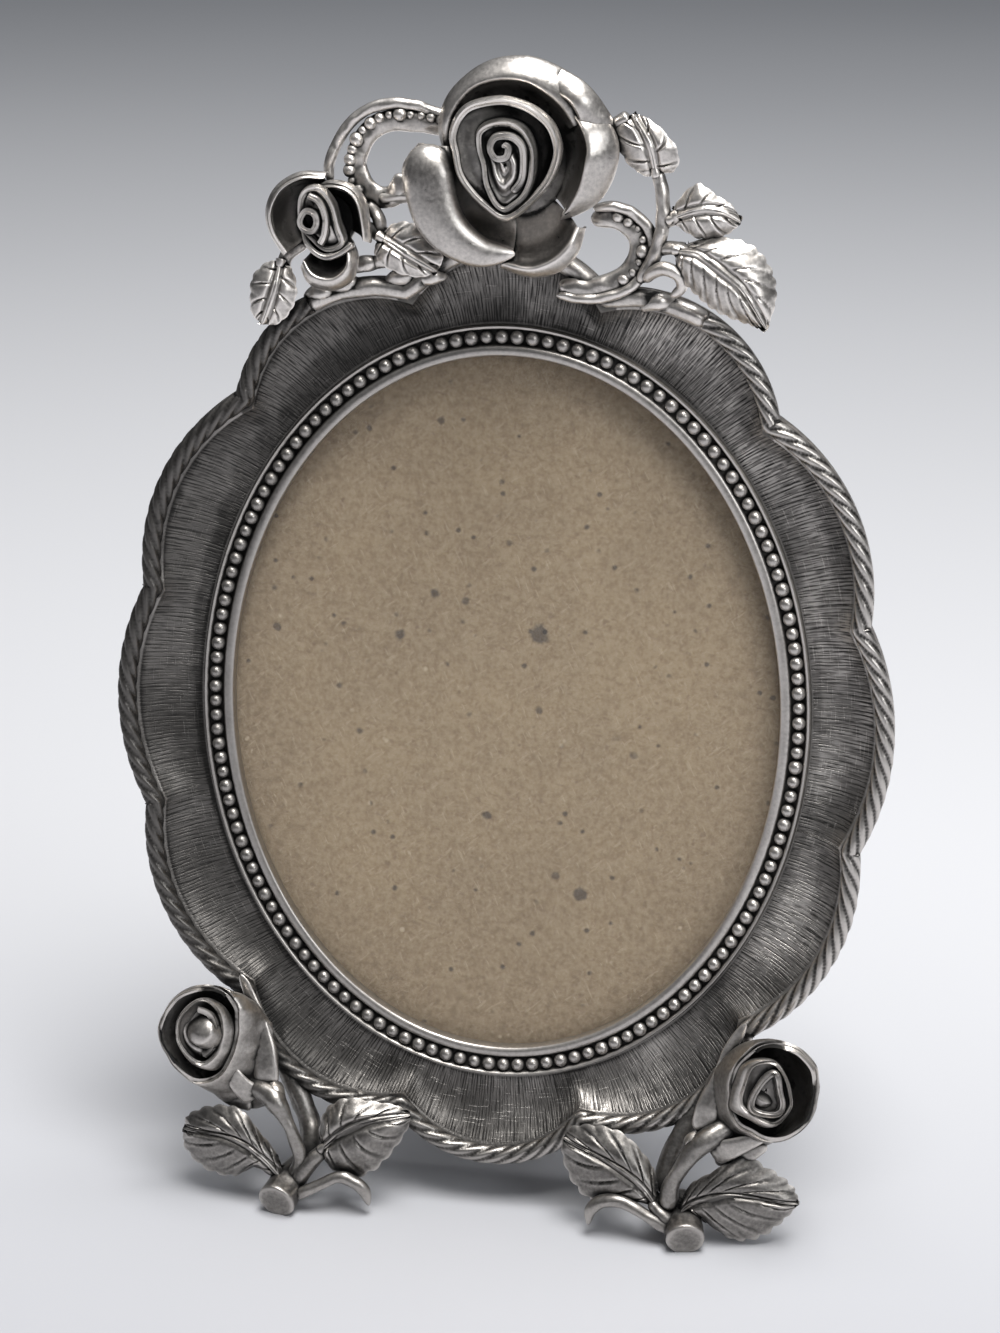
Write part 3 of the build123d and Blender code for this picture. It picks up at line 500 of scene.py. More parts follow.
@dataclass(frozen=True)
class AntiquePewter(Finish):
    """Cast pewter with black patina in its hollows and bright, worn high places."""

    bright: Colour = grey(0.80, 0.06)
    tone: Colour = grey(0.42, 0.06)
    patina: Colour = grey(0.012, 0.06)
    patina_start: float = 0.22
    patina_end: float = 0.60
    worn_from: float = 0.10
    worn_to: float = 0.55
    roughness: float = 0.36
    grain_depth: float = 0.03
    blotch_scale: float = 260.0
    grain_scale: float = 2600.0
    speck_scale: float = 1100.0
    # Painted shade: how strongly the left side is darkened, and the two places across the piece where the
    # darkening begins and where it is full.
    left_shade: float = 0.0
    lit_side: float = 0.034
    shaded_side: float = -0.036

    def side_light(self, nodes: Nodes, place: Socket) -> Value:
        """How much light is left after painted shade, which darkens the piece towards its left side."""
        across = nodes.value("ShaderNodeSeparateXYZ", {0: place}, 0)
        return 1.0 - self.left_shade * across.ramp(self.lit_side, self.shaded_side)

    def surface(self, nodes: Nodes, place: Socket) -> dict:
        """Patina where the recess attribute is high, wear where the crest attribute is, and painted shade
        towards the left side.

        Args:
            nodes: the finish's tree.
            place: the piece's Object coordinates.

        Returns:
            The Principled shader's inputs, by name.
        """
        blotch = nodes.noise(place, self.blotch_scale, 5.0, 0.6)
        grain = nodes.noise(place, self.grain_scale, 3.0, 0.6)
        speck = nodes.noise(place, self.speck_scale, 2.0, 0.5).ramp(0.56, 0.72)
        # Painted shade: less light towards the left side, which deepens the patina and dims the worn high
        # places there.
        side_lit = self.side_light(nodes, place)
        recess = nodes.attribute("recess") + (blotch - 0.5) * 0.34 + speck * 0.10 + (1 - side_lit) * 0.24
        dark = recess.ramp(self.patina_start, self.patina_end)
        standing_out = nodes.attribute("crest") + (grain - 0.5) * 0.3 + (1 - recess) * 0.25
        worn = standing_out.ramp(self.worn_from, self.worn_to)
        metal = nodes.mix(worn * side_lit, self.tone, self.bright)
        return {
            "Base Color": nodes.mix(dark, metal, self.patina),
            "Metallic": 0.96 - dark * 0.5,
            "Roughness": self.roughness + dark * 0.3 + (grain - 0.5) * 0.18 + (blotch - 0.5) * 0.16,
            "Normal": self.bump(nodes, grain * 0.6 + blotch * 0.8, self.grain_depth),
        }


@dataclass(frozen=True)
class EngravedPewter(AntiquePewter):
    """The dished face: fine lines cut outwards from the opening, and scratches across them."""

    line_pitch: float = 0.36
    line_depth: float = 0.05
    sway_share: float = 16.0
    sway_stretch: Place = (0.9, 0.05, 0.0)
    depth_stretch: Place = (1.5, 0.42, 0.0)
    fine_stretch: Place = (6.0, 0.55, 0.0)
    scratch_stretch: Place = (0.22, 3.2, 0.0)
    cloud_scale: float = 110.0
    line_colour: Colour = grey(0.022, 0.06)
    face_colour: Colour = grey(0.215, 0.06)
    glint_colour: Colour = grey(0.55, 0.06)

    def surface(self, nodes: Nodes, place: Socket) -> dict:
        """Lines that follow the trace attribute, within the patina of the cast pewter.

        Args:
            nodes: the finish's tree.
            place: the piece's Object coordinates.

        Returns:
            The Principled shader's inputs, by name.
        """
        worn_metal = super().surface(nodes, place)
        trace = nodes.add("ShaderNodeAttribute", attribute_name="trace").outputs["Vector"]
        around = nodes.value("ShaderNodeSeparateXYZ", {0: trace}, 0)
        sway = nodes.noise(nodes.stretched(trace, self.sway_stretch), 1.0, 2.0, 0.6)
        depth = nodes.noise(nodes.stretched(trace, self.depth_stretch), 1.0, 3.0, 0.6)
        cut = (around * (2 * pi / self.line_pitch) + sway * self.sway_share).sine()
        fine = nodes.noise(nodes.stretched(trace, self.fine_stretch), 1.0, 1.0, 0.4)
        across = nodes.noise(nodes.stretched(trace, self.scratch_stretch), 1.6, 2.0, 0.6)
        cloud = nodes.noise(place, self.cloud_scale, 3.0, 0.55)
        face = nodes.attribute("engraved")
        lines = cut.ramp(0.15, 0.95) * depth.ramp(0.30, 0.62) * 0.8 + fine.ramp(0.52, 0.38) * 0.35
        scratch = across.ramp(0.58, 0.70)
        recess = nodes.attribute("recess")
        # Painted shade: the engraved face is darker towards its left side.
        light = ((1 - lines * 0.85) * (cloud * 1.35) + scratch * 0.22) * self.side_light(nodes, place)
        light = light - recess * 1.9
        cut_face = nodes.mix(light.ramp(0.0, 0.62), self.line_colour, self.face_colour)
        cut_face = nodes.mix((light + fine * 0.3).ramp(0.62, 1.1), cut_face, self.glint_colour)
        return {
            "Base Color": nodes.mix(face, worn_metal["Base Color"], cut_face),
            "Metallic": 0.92 - lines * face * 0.35,
            "Roughness": worn_metal["Roughness"] + face * (0.05 + lines * 0.12),
            "Normal": self.bump(nodes, face * (scratch * 0.4 - lines), self.line_depth),
        }


@dataclass(frozen=True)
class Chipboard(Finish):
    """Brown pressed board with fine pulp, short fibres and a few dark specks."""

    light: Colour = (0.335, 0.240, 0.128, 1.0)
    dark: Colour = (0.265, 0.186, 0.098, 1.0)
    fibre: Colour = (0.54, 0.43, 0.29, 1.0)
    # Painted shadow colour for the board's oval edge, where the frame's sight edge shades it.
    rim_shadow: Colour = (0.175, 0.118, 0.060, 1.0)
    brown: Colour = (0.17, 0.10, 0.055, 1.0)
    speck: Colour = (0.045, 0.030, 0.020, 1.0)
    half_width: float = 0.029
    half_height: float = 0.037
    fibre_scale: float = 4200.0
    chip_scale: float = 230.0
    grit_scale: float = 520.0
    spot_level: float = -2.0
    spots: tuple[Place, ...] = (
        (3.0, 7.9, 1.15), (-7.5, 11.4, 0.6), (-1.8, -11.8, 0.6), (8.1, -19.7, 0.8), (-11.4, -20.3, 0.45),
        (-11.1, 6.7, 0.75),
    )

    def fibres(self, nodes: Nodes, place: Socket, angle: float, seed: float) -> Value:
        """Sparse straight fibres that lie at an angle on the board.

        Args:
            nodes: the tree.
            place: the place on the board.
            angle: how far the fibres are turned, in degrees.
            seed: a shift that makes this set its own.

        Returns:
            One where a fibre lies.
        """
        inputs = {"Vector": place, "Rotation": (0.0, radians(angle), 0.0), "Location": (seed, seed, seed)}
        turned = nodes.add("ShaderNodeMapping", inputs).outputs[0]
        long = nodes.stretched(turned, (1.0, 1.0, 0.12))
        return nodes.noise(long, self.fibre_scale, 1.0, 0.4).ramp(0.69, 0.75)

    def placed_spots(self, nodes: Nodes, place: Socket, mottle: Value, pulp: Value) -> Value:
        """The larger dark spots, each at its own place on the board.

        Args:
            nodes: the tree.
            place: the place on the board.
            mottle: coarse noise, which bends the spots' outlines.
            pulp: fine noise, which frays them.

        Returns:
            One inside a spot.
        """
        covered = 0.0
        for x, y, radius in self.spots:
            middle = bench.standing(np.array([x, y, self.spot_level])).tolist()
            ends = {0: place, 1: middle}
            away = nodes.value("ShaderNodeVectorMath", ends, "Value", operation="DISTANCE")
            size = radius * bench.scale
            frayed = away + (mottle - 0.5) * size * 2.6 + (pulp - 0.5) * size
            covered = covered + frayed.ramp(size, size * 0.5)
        return covered

    def surface(self, nodes: Nodes, place: Socket) -> dict:
        """Clouds of pulp, short fibres several ways, grit, a few placed spots and a painted shadow round
        the edge.

        Args:
            nodes: the finish's tree.
            place: the piece's Object coordinates.

        Returns:
            The Principled shader's inputs, by name.
        """
        cloud = nodes.noise(place, 45.0, 5.0, 0.6)
        pulp = nodes.noise(place, 1300.0, 6.0, 0.75)
        mottle = nodes.noise(place, 420.0, 4.0, 0.6)
        pale = self.fibres(nodes, place, 25.0, 1.0) + self.fibres(nodes, place, -50.0, 2.0)
        dark = self.fibres(nodes, place, 75.0, 3.0) + self.fibres(nodes, place, -10.0, 4.0)
        chips = (nodes.cells(place, self.chip_scale) + (pulp - 0.5) * 0.16).ramp(0.12, 0.07)
        chips = chips * nodes.noise(place, 62.0, 1.0, 0.5).ramp(0.50, 0.56)
        grit = nodes.cells(place, self.grit_scale)
        small = (grit + (pulp - 0.5) * 0.2).ramp(0.19, 0.10)
        small = small * nodes.noise(place, 300.0, 1.0, 0.5).ramp(0.52, 0.60)
        pale_grit = (grit + (pulp - 0.5) * 0.3).ramp(0.16, 0.08)
        pale_grit = pale_grit * nodes.noise(place, 310.0, 1.0, 0.5).ramp(0.42, 0.36)
        placed = self.placed_spots(nodes, place, mottle, pulp)
        specks = placed * 0.85 + chips * 0.7 + small * 0.8
        rust = nodes.noise(place, 1000.0, 2.0, 0.5).ramp(0.68, 0.74)
        base = nodes.mix((cloud * 0.8 + mottle * 0.25).ramp(0.40, 0.72), self.dark, self.light)
        # Painted shadow: the board darkens towards its oval edge, where the frame's sight edge shades it.
        low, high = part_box("backing_board")
        level = (low[2] + high[2]) / 2
        apart = nodes.add("ShaderNodeSeparateXYZ", {0: place})
        x, z = Value(nodes, apart.outputs[0]), Value(nodes, apart.outputs[2])
        reach = (abs(x / self.half_width) ** 2 + abs((z - level) / self.half_height) ** 2) ** 0.5
        base = nodes.mix((reach + (cloud - 0.5) * 0.3).ramp(0.66, 1.06) * 0.55, base, self.rim_shadow)
        base = nodes.mix((pulp - 0.5) * 1.5 + 0.15, base, self.fibre)
        base = nodes.mix((0.5 - pulp) * 1.8, base, self.brown)
        base = nodes.mix(pale * 0.30, base, self.fibre)
        base = nodes.mix(dark * 0.35, base, self.brown)
        base = nodes.mix(rust * 0.45, base, self.brown)
        base = nodes.mix(pale_grit * 0.7, base, self.fibre)
        return {
            "Base Color": nodes.mix(specks * 0.9, base, self.speck),
            "Roughness": 0.86 + (pulp - 0.5) * 0.2,
            "Normal": self.bump(nodes, pulp + pale * 0.4, 0.06),
        }


@dataclass(frozen=True)
class ClearGlass(Finish):
    """Thin picture glass, all but unseen, with a faint gloss."""

    def surface(self, nodes: Nodes, place: Socket) -> dict:
        """A clear pane with faint smears in its gloss."""
        smear = nodes.noise(nodes.stretched(place, (1.0, 1.0, 0.4)), 60.0, 3.0, 0.5)
        return {"Base Color": grey(0.9), "Roughness": 0.04 + smear * 0.08, "Alpha": 0.04, "IOR": 1.45}


@dataclass(frozen=True)
class Velvet(Finish):
    """Short dark velvet glued over board."""

    pile: Colour = (0.022, 0.020, 0.024, 1.0)
    sheen_tint: Colour = (0.45, 0.43, 0.47, 1.0)

    def surface(self, nodes: Nodes, place: Socket) -> dict:
        """Pile that is brushed lighter and darker in patches.

        Args:
            nodes: the finish's tree.
            place: the piece's Object coordinates.

        Returns:
            The Principled shader's inputs, by name.
        """
        nap = nodes.noise(place, 120.0, 4.0, 0.6)
        pile = nodes.noise(place, 4200.0, 2.0, 0.7)
        light = tuple(channel * 2.2 for channel in self.pile[:3]) + (1.0,)
        return {
            "Base Color": nodes.mix((nap * 0.6 + pile * 0.5).ramp(0.35, 0.8), self.pile, light),
            "Roughness": 0.9 - nap * 0.1,
            "Sheen Weight": 0.7,
            "Sheen Roughness": 0.4,
            "Sheen Tint": self.sheen_tint,
            "Normal": self.bump(nodes, pile, 0.08),
        }


@dataclass(frozen=True)
class BrushedSteel(Finish):
    """Thin sheet steel with fine brush lines and a slightly dull surface."""

    base: Colour = grey(0.56, 0.0)
    dull: Colour = grey(0.34, 0.03)

    def surface(self, nodes: Nodes, place: Socket) -> dict:
        """Brush lines across the piece, and dull patches.

        Args:
            nodes: the finish's tree.
            place: the piece's Object coordinates.

        Returns:
            The Principled shader's inputs, by name.
        """
        brushed = nodes.noise(nodes.stretched(place, (0.05, 1.0, 1.0)), 3800.0, 3.0, 0.6)
        patch = nodes.noise(place, 240.0, 4.0, 0.6)
        return {
            "Base Color": nodes.mix(patch.ramp(0.42, 0.66), self.base, self.dull),
            "Metallic": 1.0,
            "Roughness": 0.28 + brushed * 0.2 + patch * 0.1,
            "Normal": self.bump(nodes, brushed, 0.01),
        }


@dataclass(frozen=True)
class PaleFloor(Finish):
    """The plain pale table under and behind the frame."""

    near: Colour = (0.47, 0.475, 0.505, 1.0)
    middle: Colour = (0.66, 0.665, 0.69, 1.0)
    far: Colour = (0.29, 0.303, 0.332, 1.0)

    def surface(self, nodes: Nodes, place: Socket) -> dict:
        """Painted light: pale where the frame stands, darker in front of it and greyer far behind it, as
        the lamps' light falls off.

        Args:
            nodes: the finish's tree.
            place: the piece's Object coordinates.

        Returns:
            The Principled shader's inputs, by name.
        """
        depth = nodes.value("ShaderNodeSeparateXYZ", {0: place}, 1)
        haze = nodes.noise(place, 3.0, 2.0, 0.5)
        # Painted light: the floor is paler round the frame and darker in front of it and far behind.
        front = nodes.mix(depth.ramp(-0.08, 0.10), self.near, self.middle)
        return {
            "Base Color": nodes.mix((depth + haze * 0.1).ramp(0.16, 1.1), front, self.far),
            "Roughness": 0.62,
        }


crest_pewter = AntiquePewter("crest_pewter", bright=grey(0.90, 0.06), tone=grey(0.36, 0.06), roughness=0.33)
spray_pewter = AntiquePewter(
    "spray_pewter", bright=grey(0.42, 0.06), tone=grey(0.10, 0.06), patina_end=0.62,
)
# Painted shade: the rope is much darker towards its left side.
rope_pewter = AntiquePewter(
    "rope_pewter",
    bright=grey(0.62, 0.06), tone=grey(0.10, 0.06), patina_start=0.18, patina_end=0.52, left_shade=0.9,
)
bud_pewter = AntiquePewter("bud_pewter", bright=grey(0.66, 0.06), tone=grey(0.22, 0.06), patina_end=0.66)
# Painted shade: the engraved face is darker towards its left side.
face_pewter = EngravedPewter(
    "face_pewter",
    bright=grey(0.66, 0.06), tone=grey(0.22, 0.06), patina=grey(0.045, 0.06), patina_end=0.8,
    left_shade=0.45,
)
# Painted shade: the beads are darker towards their left side.
bead_pewter = AntiquePewter(
    "bead_pewter",
    bright=grey(0.55, 0.06), tone=grey(0.17, 0.06), patina=grey(0.03, 0.06), patina_start=0.18,
    patina_end=0.7, left_shade=0.5,
)
chipboard = Chipboard("brown_chipboard")
clear_glass = ClearGlass("picture_glass")
velvet = Velvet("dark_velvet")
steel = BrushedSteel("fitting_steel")
pale_floor = PaleFloor("pale_floor")


def dressed(
    name: str, mesh: bpy.types.Mesh, finish: Finish, body: Body = Body.FRAME
) -> Piece:
    """Puts a mesh into the scene as a piece of the object.

    Args:
        name: the piece's name.
        mesh: its mesh, in place, in metres.
        finish: what it is made of.
        body: the CAD body that it rides on.

    Returns:
        The piece.
    """
    mesh.materials.clear()
    mesh.materials.append(finish.material())
    piece = bpy.data.objects.new(name, mesh)
    bpy.context.scene.collection.objects.link(piece)
    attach(piece, body.value)
    log.info("%s: %d faces, %s", name, len(mesh.polygons), finish.name)
    return piece


def turn_outwards(work: bmesh.types.BMesh, sizes: Sequence[int]) -> None:
    """Turns round each closed part of a mesh whose faces all point inwards.

    Args:
        work: the mesh, whose parts follow one another in its points.
        sizes: how many points each part has.
    """
    ends = np.cumsum(sizes)
    owners = np.searchsorted(ends, [face.verts[0].index for face in work.faces], side="right")
    shares = [face.calc_area() * face.normal.dot(face.calc_center_median()) for face in work.faces]
    volumes = np.bincount(owners, shares, len(sizes))
    inside_out = [face for face, owner in zip(work.faces, owners) if volumes[owner] < 0]
    bmesh.ops.reverse_faces(work, faces=inside_out)


def meshed(name: str, form: Form, crease: float = 50.0) -> bpy.types.Mesh:
    """A mesh of a bench form, stood up, smooth but for sharp creases, with its faces outwards.

    Args:
        name: the mesh's name.
        form: the points and faces.
        crease: the angle in degrees above which an edge stays sharp.

    Returns:
        The mesh, in metres.
    """
    mesh = bpy.data.meshes.new(name)
    faces = [face for block in form.faces for face in block.tolist()]
    mesh.from_pydata(bench.standing(form.points).tolist(), [], faces)
    if form.trace is not None:
        trace = mesh.attributes.new("trace", "FLOAT_VECTOR", "POINT")
        trace.data.foreach_set("vector", form.trace.astype(np.float32).ravel())
    work = bmesh.new()
    work.from_mesh(mesh)
    bmesh.ops.recalc_face_normals(work, faces=work.faces)
    turn_outwards(work, form.sizes())
    work.to_mesh(mesh)
    work.free()
    mesh.polygons.foreach_set("use_smooth", np.ones(len(mesh.polygons), bool))
    mesh.set_sharp_from_angle(angle=radians(crease))
    return mesh


class Pattern:
    """A Geometry Nodes tree with named sizes, which turns a path or points into a plain mesh."""

    def __init__(self, name: str, sizes: Sequence[str], whole: Sequence[str] = ()) -> None:
        """Starts the tree.

        Args:
            name: the tree's name.
            sizes: the names of its sizes.
            whole: the names of those that are whole numbers.
        """
        self.tree = bpy.data.node_groups.new(name, "GeometryNodeTree")
        self.nodes = Nodes(self.tree)
        face = self.tree.interface
        face.new_socket("Geometry", in_out="INPUT", socket_type="NodeSocketGeometry")
        self.keys = {}
        for label in sizes:
            kind = "NodeSocketInt" if label in whole else "NodeSocketFloat"
            self.keys[label] = face.new_socket(label, in_out="INPUT", socket_type=kind).identifier
        face.new_socket("Geometry", in_out="OUTPUT", socket_type="NodeSocketGeometry")
        self.start = self.nodes.add("NodeGroupInput")

    def size(self, label: str) -> Value:
        """A named size, for sums."""
        return Value(self.nodes, self.start.outputs[label])

    def close(self, made: bpy.types.Node, finish: Finish) -> None:
        """Ends the tree with plain, smooth geometry in a finish.

        Args:
            made: the node that gives what the tree has made.
            finish: what it is made of.
        """
        real = self.nodes.add("GeometryNodeRealizeInstances", {0: made})
        smooth = self.nodes.add("GeometryNodeSetShadeSmooth", {0: real})
        dress = self.nodes.add("GeometryNodeSetMaterial", {0: smooth, "Material": finish.material()})
        self.nodes.add("NodeGroupOutput", {0: dress})

    def run(
        self, name: str, places: np.ndarray, sizes: dict[str, float], closed: bool = False,
    ) -> bpy.types.Mesh:
        """Runs the tree on bench places.

        Args:
            name: the mesh's name.
            places: the path, or the points, on the bench.
            sizes: each size by its name.
            closed: whether the path returns to its start.

        Returns:
            The plain mesh that the tree gives.
        """
        source = bpy.data.meshes.new(name)
        last = len(places) if closed else len(places) - 1
        edges = [(index, (index + 1) % len(places)) for index in range(last)]
        source.from_pydata(bench.standing(places).tolist(), edges, [])
        holder = bpy.data.objects.new(name, source)
        bpy.context.scene.collection.objects.link(holder)
        modifier = holder.modifiers.new(name, "NODES")
        modifier.node_group = self.tree
        for label, value in sizes.items():
            modifier[self.keys[label]] = value
        seen = holder.evaluated_get(bpy.context.evaluated_depsgraph_get())
        mesh = bpy.data.meshes.new_from_object(seen)
        mesh.name = name
        bpy.data.objects.remove(holder)
        return mesh


def bead_pattern(finish: Finish) -> Pattern:
    """Beads in a row on a path, each a little larger or smaller than the next.

    Args:
        finish: what the beads are made of.

    Returns:
        The pattern, with sizes Count, Radius and Unevenness.
    """
    made = Pattern("bead_row", ("Count", "Radius", "Unevenness"), whole=("Count",))
    nodes = made.nodes
    line = nodes.add("GeometryNodeMeshToCurve", {0: made.start})
    row = nodes.add("GeometryNodeResampleCurve", {"Curve": line, "Count": made.size("Count")})
    ball = {"Segments": 10, "Rings": 7, "Radius": made.size("Radius")}
    bead = nodes.add("GeometryNodeMeshUVSphere", ball)
    limits = {2: 1.0 - made.size("Unevenness"), 3: 1.0 + made.size("Unevenness"), "Seed": 7}
    size = nodes.value("FunctionNodeRandomValue", limits, 1, data_type="FLOAT")
    placed = nodes.add("GeometryNodeInstanceOnPoints", {"Points": row, "Instance": bead, "Scale": size})
    made.close(placed, finish)
    return made


def rope_pattern(finish: Finish) -> Pattern:
    """A round moulding on a path, cut into slanting strands.

    Args:
        finish: what the moulding is made of.

    Returns:
        The pattern, with sizes Step, Radius, Pitch, Starts and Depth.
    """
    made = Pattern("rope_moulding", ("Step", "Radius", "Pitch", "Starts", "Depth"))
    nodes = made.nodes
    line = nodes.add("GeometryNodeMeshToCurve", {0: made.start})
    step = {"Curve": line, "Length": made.size("Step")}
    even = nodes.add("GeometryNodeResampleCurve", step, mode="LENGTH")
    kept = nodes.add("GeometryNodeCaptureAttribute", {0: even})
    kept.capture_items.new("FLOAT", "along")
    spline = nodes.add("GeometryNodeSplineParameter")
    nodes.tree.links.new(spline.outputs["Length"], kept.inputs[1])
    ring = nodes.add("GeometryNodeCurvePrimitiveCircle", {"Resolution": 28, "Radius": made.size("Radius")})
    turned = nodes.add("GeometryNodeCaptureAttribute", {0: ring})
    turned.capture_items.new("FLOAT", "round")
    nodes.tree.links.new(nodes.add("GeometryNodeSplineParameter").outputs["Factor"], turned.inputs[1])
    sweep = {"Curve": kept, "Profile Curve": turned, "Fill Caps": True}
    swept = nodes.add("GeometryNodeCurveToMesh", sweep)
    along, round_share = Value(nodes, kept.outputs[1]), Value(nodes, turned.outputs[1])
    phase = (round_share * made.size("Starts") + along / made.size("Pitch")) * pi
    groove = 1.0 - abs(phase.sine()) ** 0.55
    inward = {0: nodes.add("GeometryNodeInputNormal"), "Scale": groove * made.size("Depth") * -1.0}
    shift = nodes.add("ShaderNodeVectorMath", inward, operation="SCALE")
    made.close(nodes.add("GeometryNodeSetPosition", {"Geometry": swept, "Offset": shift}), finish)
    return made


def rivet_pattern(finish: Finish) -> Pattern:
    """Low domed heads on a set of points, square to the piece that they hold.

    Args:
        finish: what the heads are made of.

    Returns:
        The pattern, with sizes Radius, Height and Tilt.
    """
    made = Pattern("rivet_heads", ("Radius", "Height", "Tilt"))
    nodes = made.nodes
    ball = {"Segments": 20, "Rings": 12, "Radius": made.size("Radius")}
    dome = nodes.add("GeometryNodeMeshUVSphere", ball)
    low = made.size("Height") / made.size("Radius")
    flat = nodes.add("ShaderNodeCombineXYZ", {0: 1.0, 1: 1.0, 2: low})
    tilt = nodes.add("ShaderNodeCombineXYZ", {0: made.size("Tilt")})
    heads = {"Points": made.start, "Instance": dome, "Rotation": tilt, "Scale": flat}
    made.close(nodes.add("GeometryNodeInstanceOnPoints", heads), finish)
    return made


def oval(half_width: float, half_height: float, angles: np.ndarray) -> np.ndarray:
    """Points of an oval at parameter angles, as pairs."""
    return np.stack([half_width * np.cos(angles), half_height * np.sin(angles)], axis=-1)


@dataclass
class Scallops:
    """The scalloped outlines of the rim, with one arc for each lobe."""

    lobes: int = 12
    steps: int = 64
    outer: tuple[float, float] = (39.5, 48.2)
    outer_notch: tuple[float, float] = (38.0, 45.2)
    inner: tuple[float, float] = (37.6, 46.3)
    inner_notch: tuple[float, float] = (35.85, 42.7)

    def angles(self) -> np.ndarray:
        """The parameter angles of the steps, from the first notch on."""
        return (np.arange(self.lobes * self.steps) / self.steps - 0.5) * 2 * pi / self.lobes

    def outline(self, lobe: tuple[float, float], notch: tuple[float, float]) -> np.ndarray:
        """The points of an outline of one arc to each lobe.

        Args:
            lobe: the half width and half height of the oval through the lobe tops.
            notch: the same for the oval through the notches.

        Returns:
            The points, as pairs.
        """
        points = []
        share = np.arange(self.steps) / self.steps
        for index in range(self.lobes):
            middle = index * 2 * pi / self.lobes
            half = pi / self.lobes
            start, top, end = (
                oval(*size, np.array([angle]))[0]
                for size, angle in ((notch, middle - half), (lobe, middle), (notch, middle + half))
            )
            points.append(arc_points(start, top, end, share))
        return np.concatenate(points)

    def band(self, share: float) -> np.ndarray:
        """The outline that lies a share of the way across the rope's band.

        Args:
            share: 0 at the band's inner edge and 1 at its outer edge.

        Returns:
            The points, as pairs.
        """
        lobe = tuple(a + (b - a) * share for a, b in zip(self.inner, self.outer))
        notch = tuple(a + (b - a) * share for a, b in zip(self.inner_notch, self.outer_notch))
        return self.outline(lobe, notch)


def arc_points(start: np.ndarray, top: np.ndarray, end: np.ndarray, shares: np.ndarray) -> np.ndarray:
    """Points of the circle arc through three points, at shares of its angle.

    Args:
        start: where the arc starts.
        top: a point on the arc.
        end: where the arc ends.
        shares: shares of the arc's angle.

    Returns:
        One pair for each share.
    """
    first, second = top - start, end - start
    double = 2 * (first[0] * second[1] - first[1] * second[0])
    across = np.array(
        [
            second[1] * (first @ first) - first[1] * (second @ second),
            first[0] * (second @ second) - second[0] * (first @ first),
        ]
    ) / double
    middle = start + across
    radius = np.linalg.norm(across)
    begin = np.arctan2(*(start - middle)[::-1])
    sweep = (np.arctan2(*(end - middle)[::-1]) - begin + pi) % (2 * pi) - pi
    turn = begin + sweep * shares
    return middle + radius * np.stack([np.cos(turn), np.sin(turn)], axis=-1)


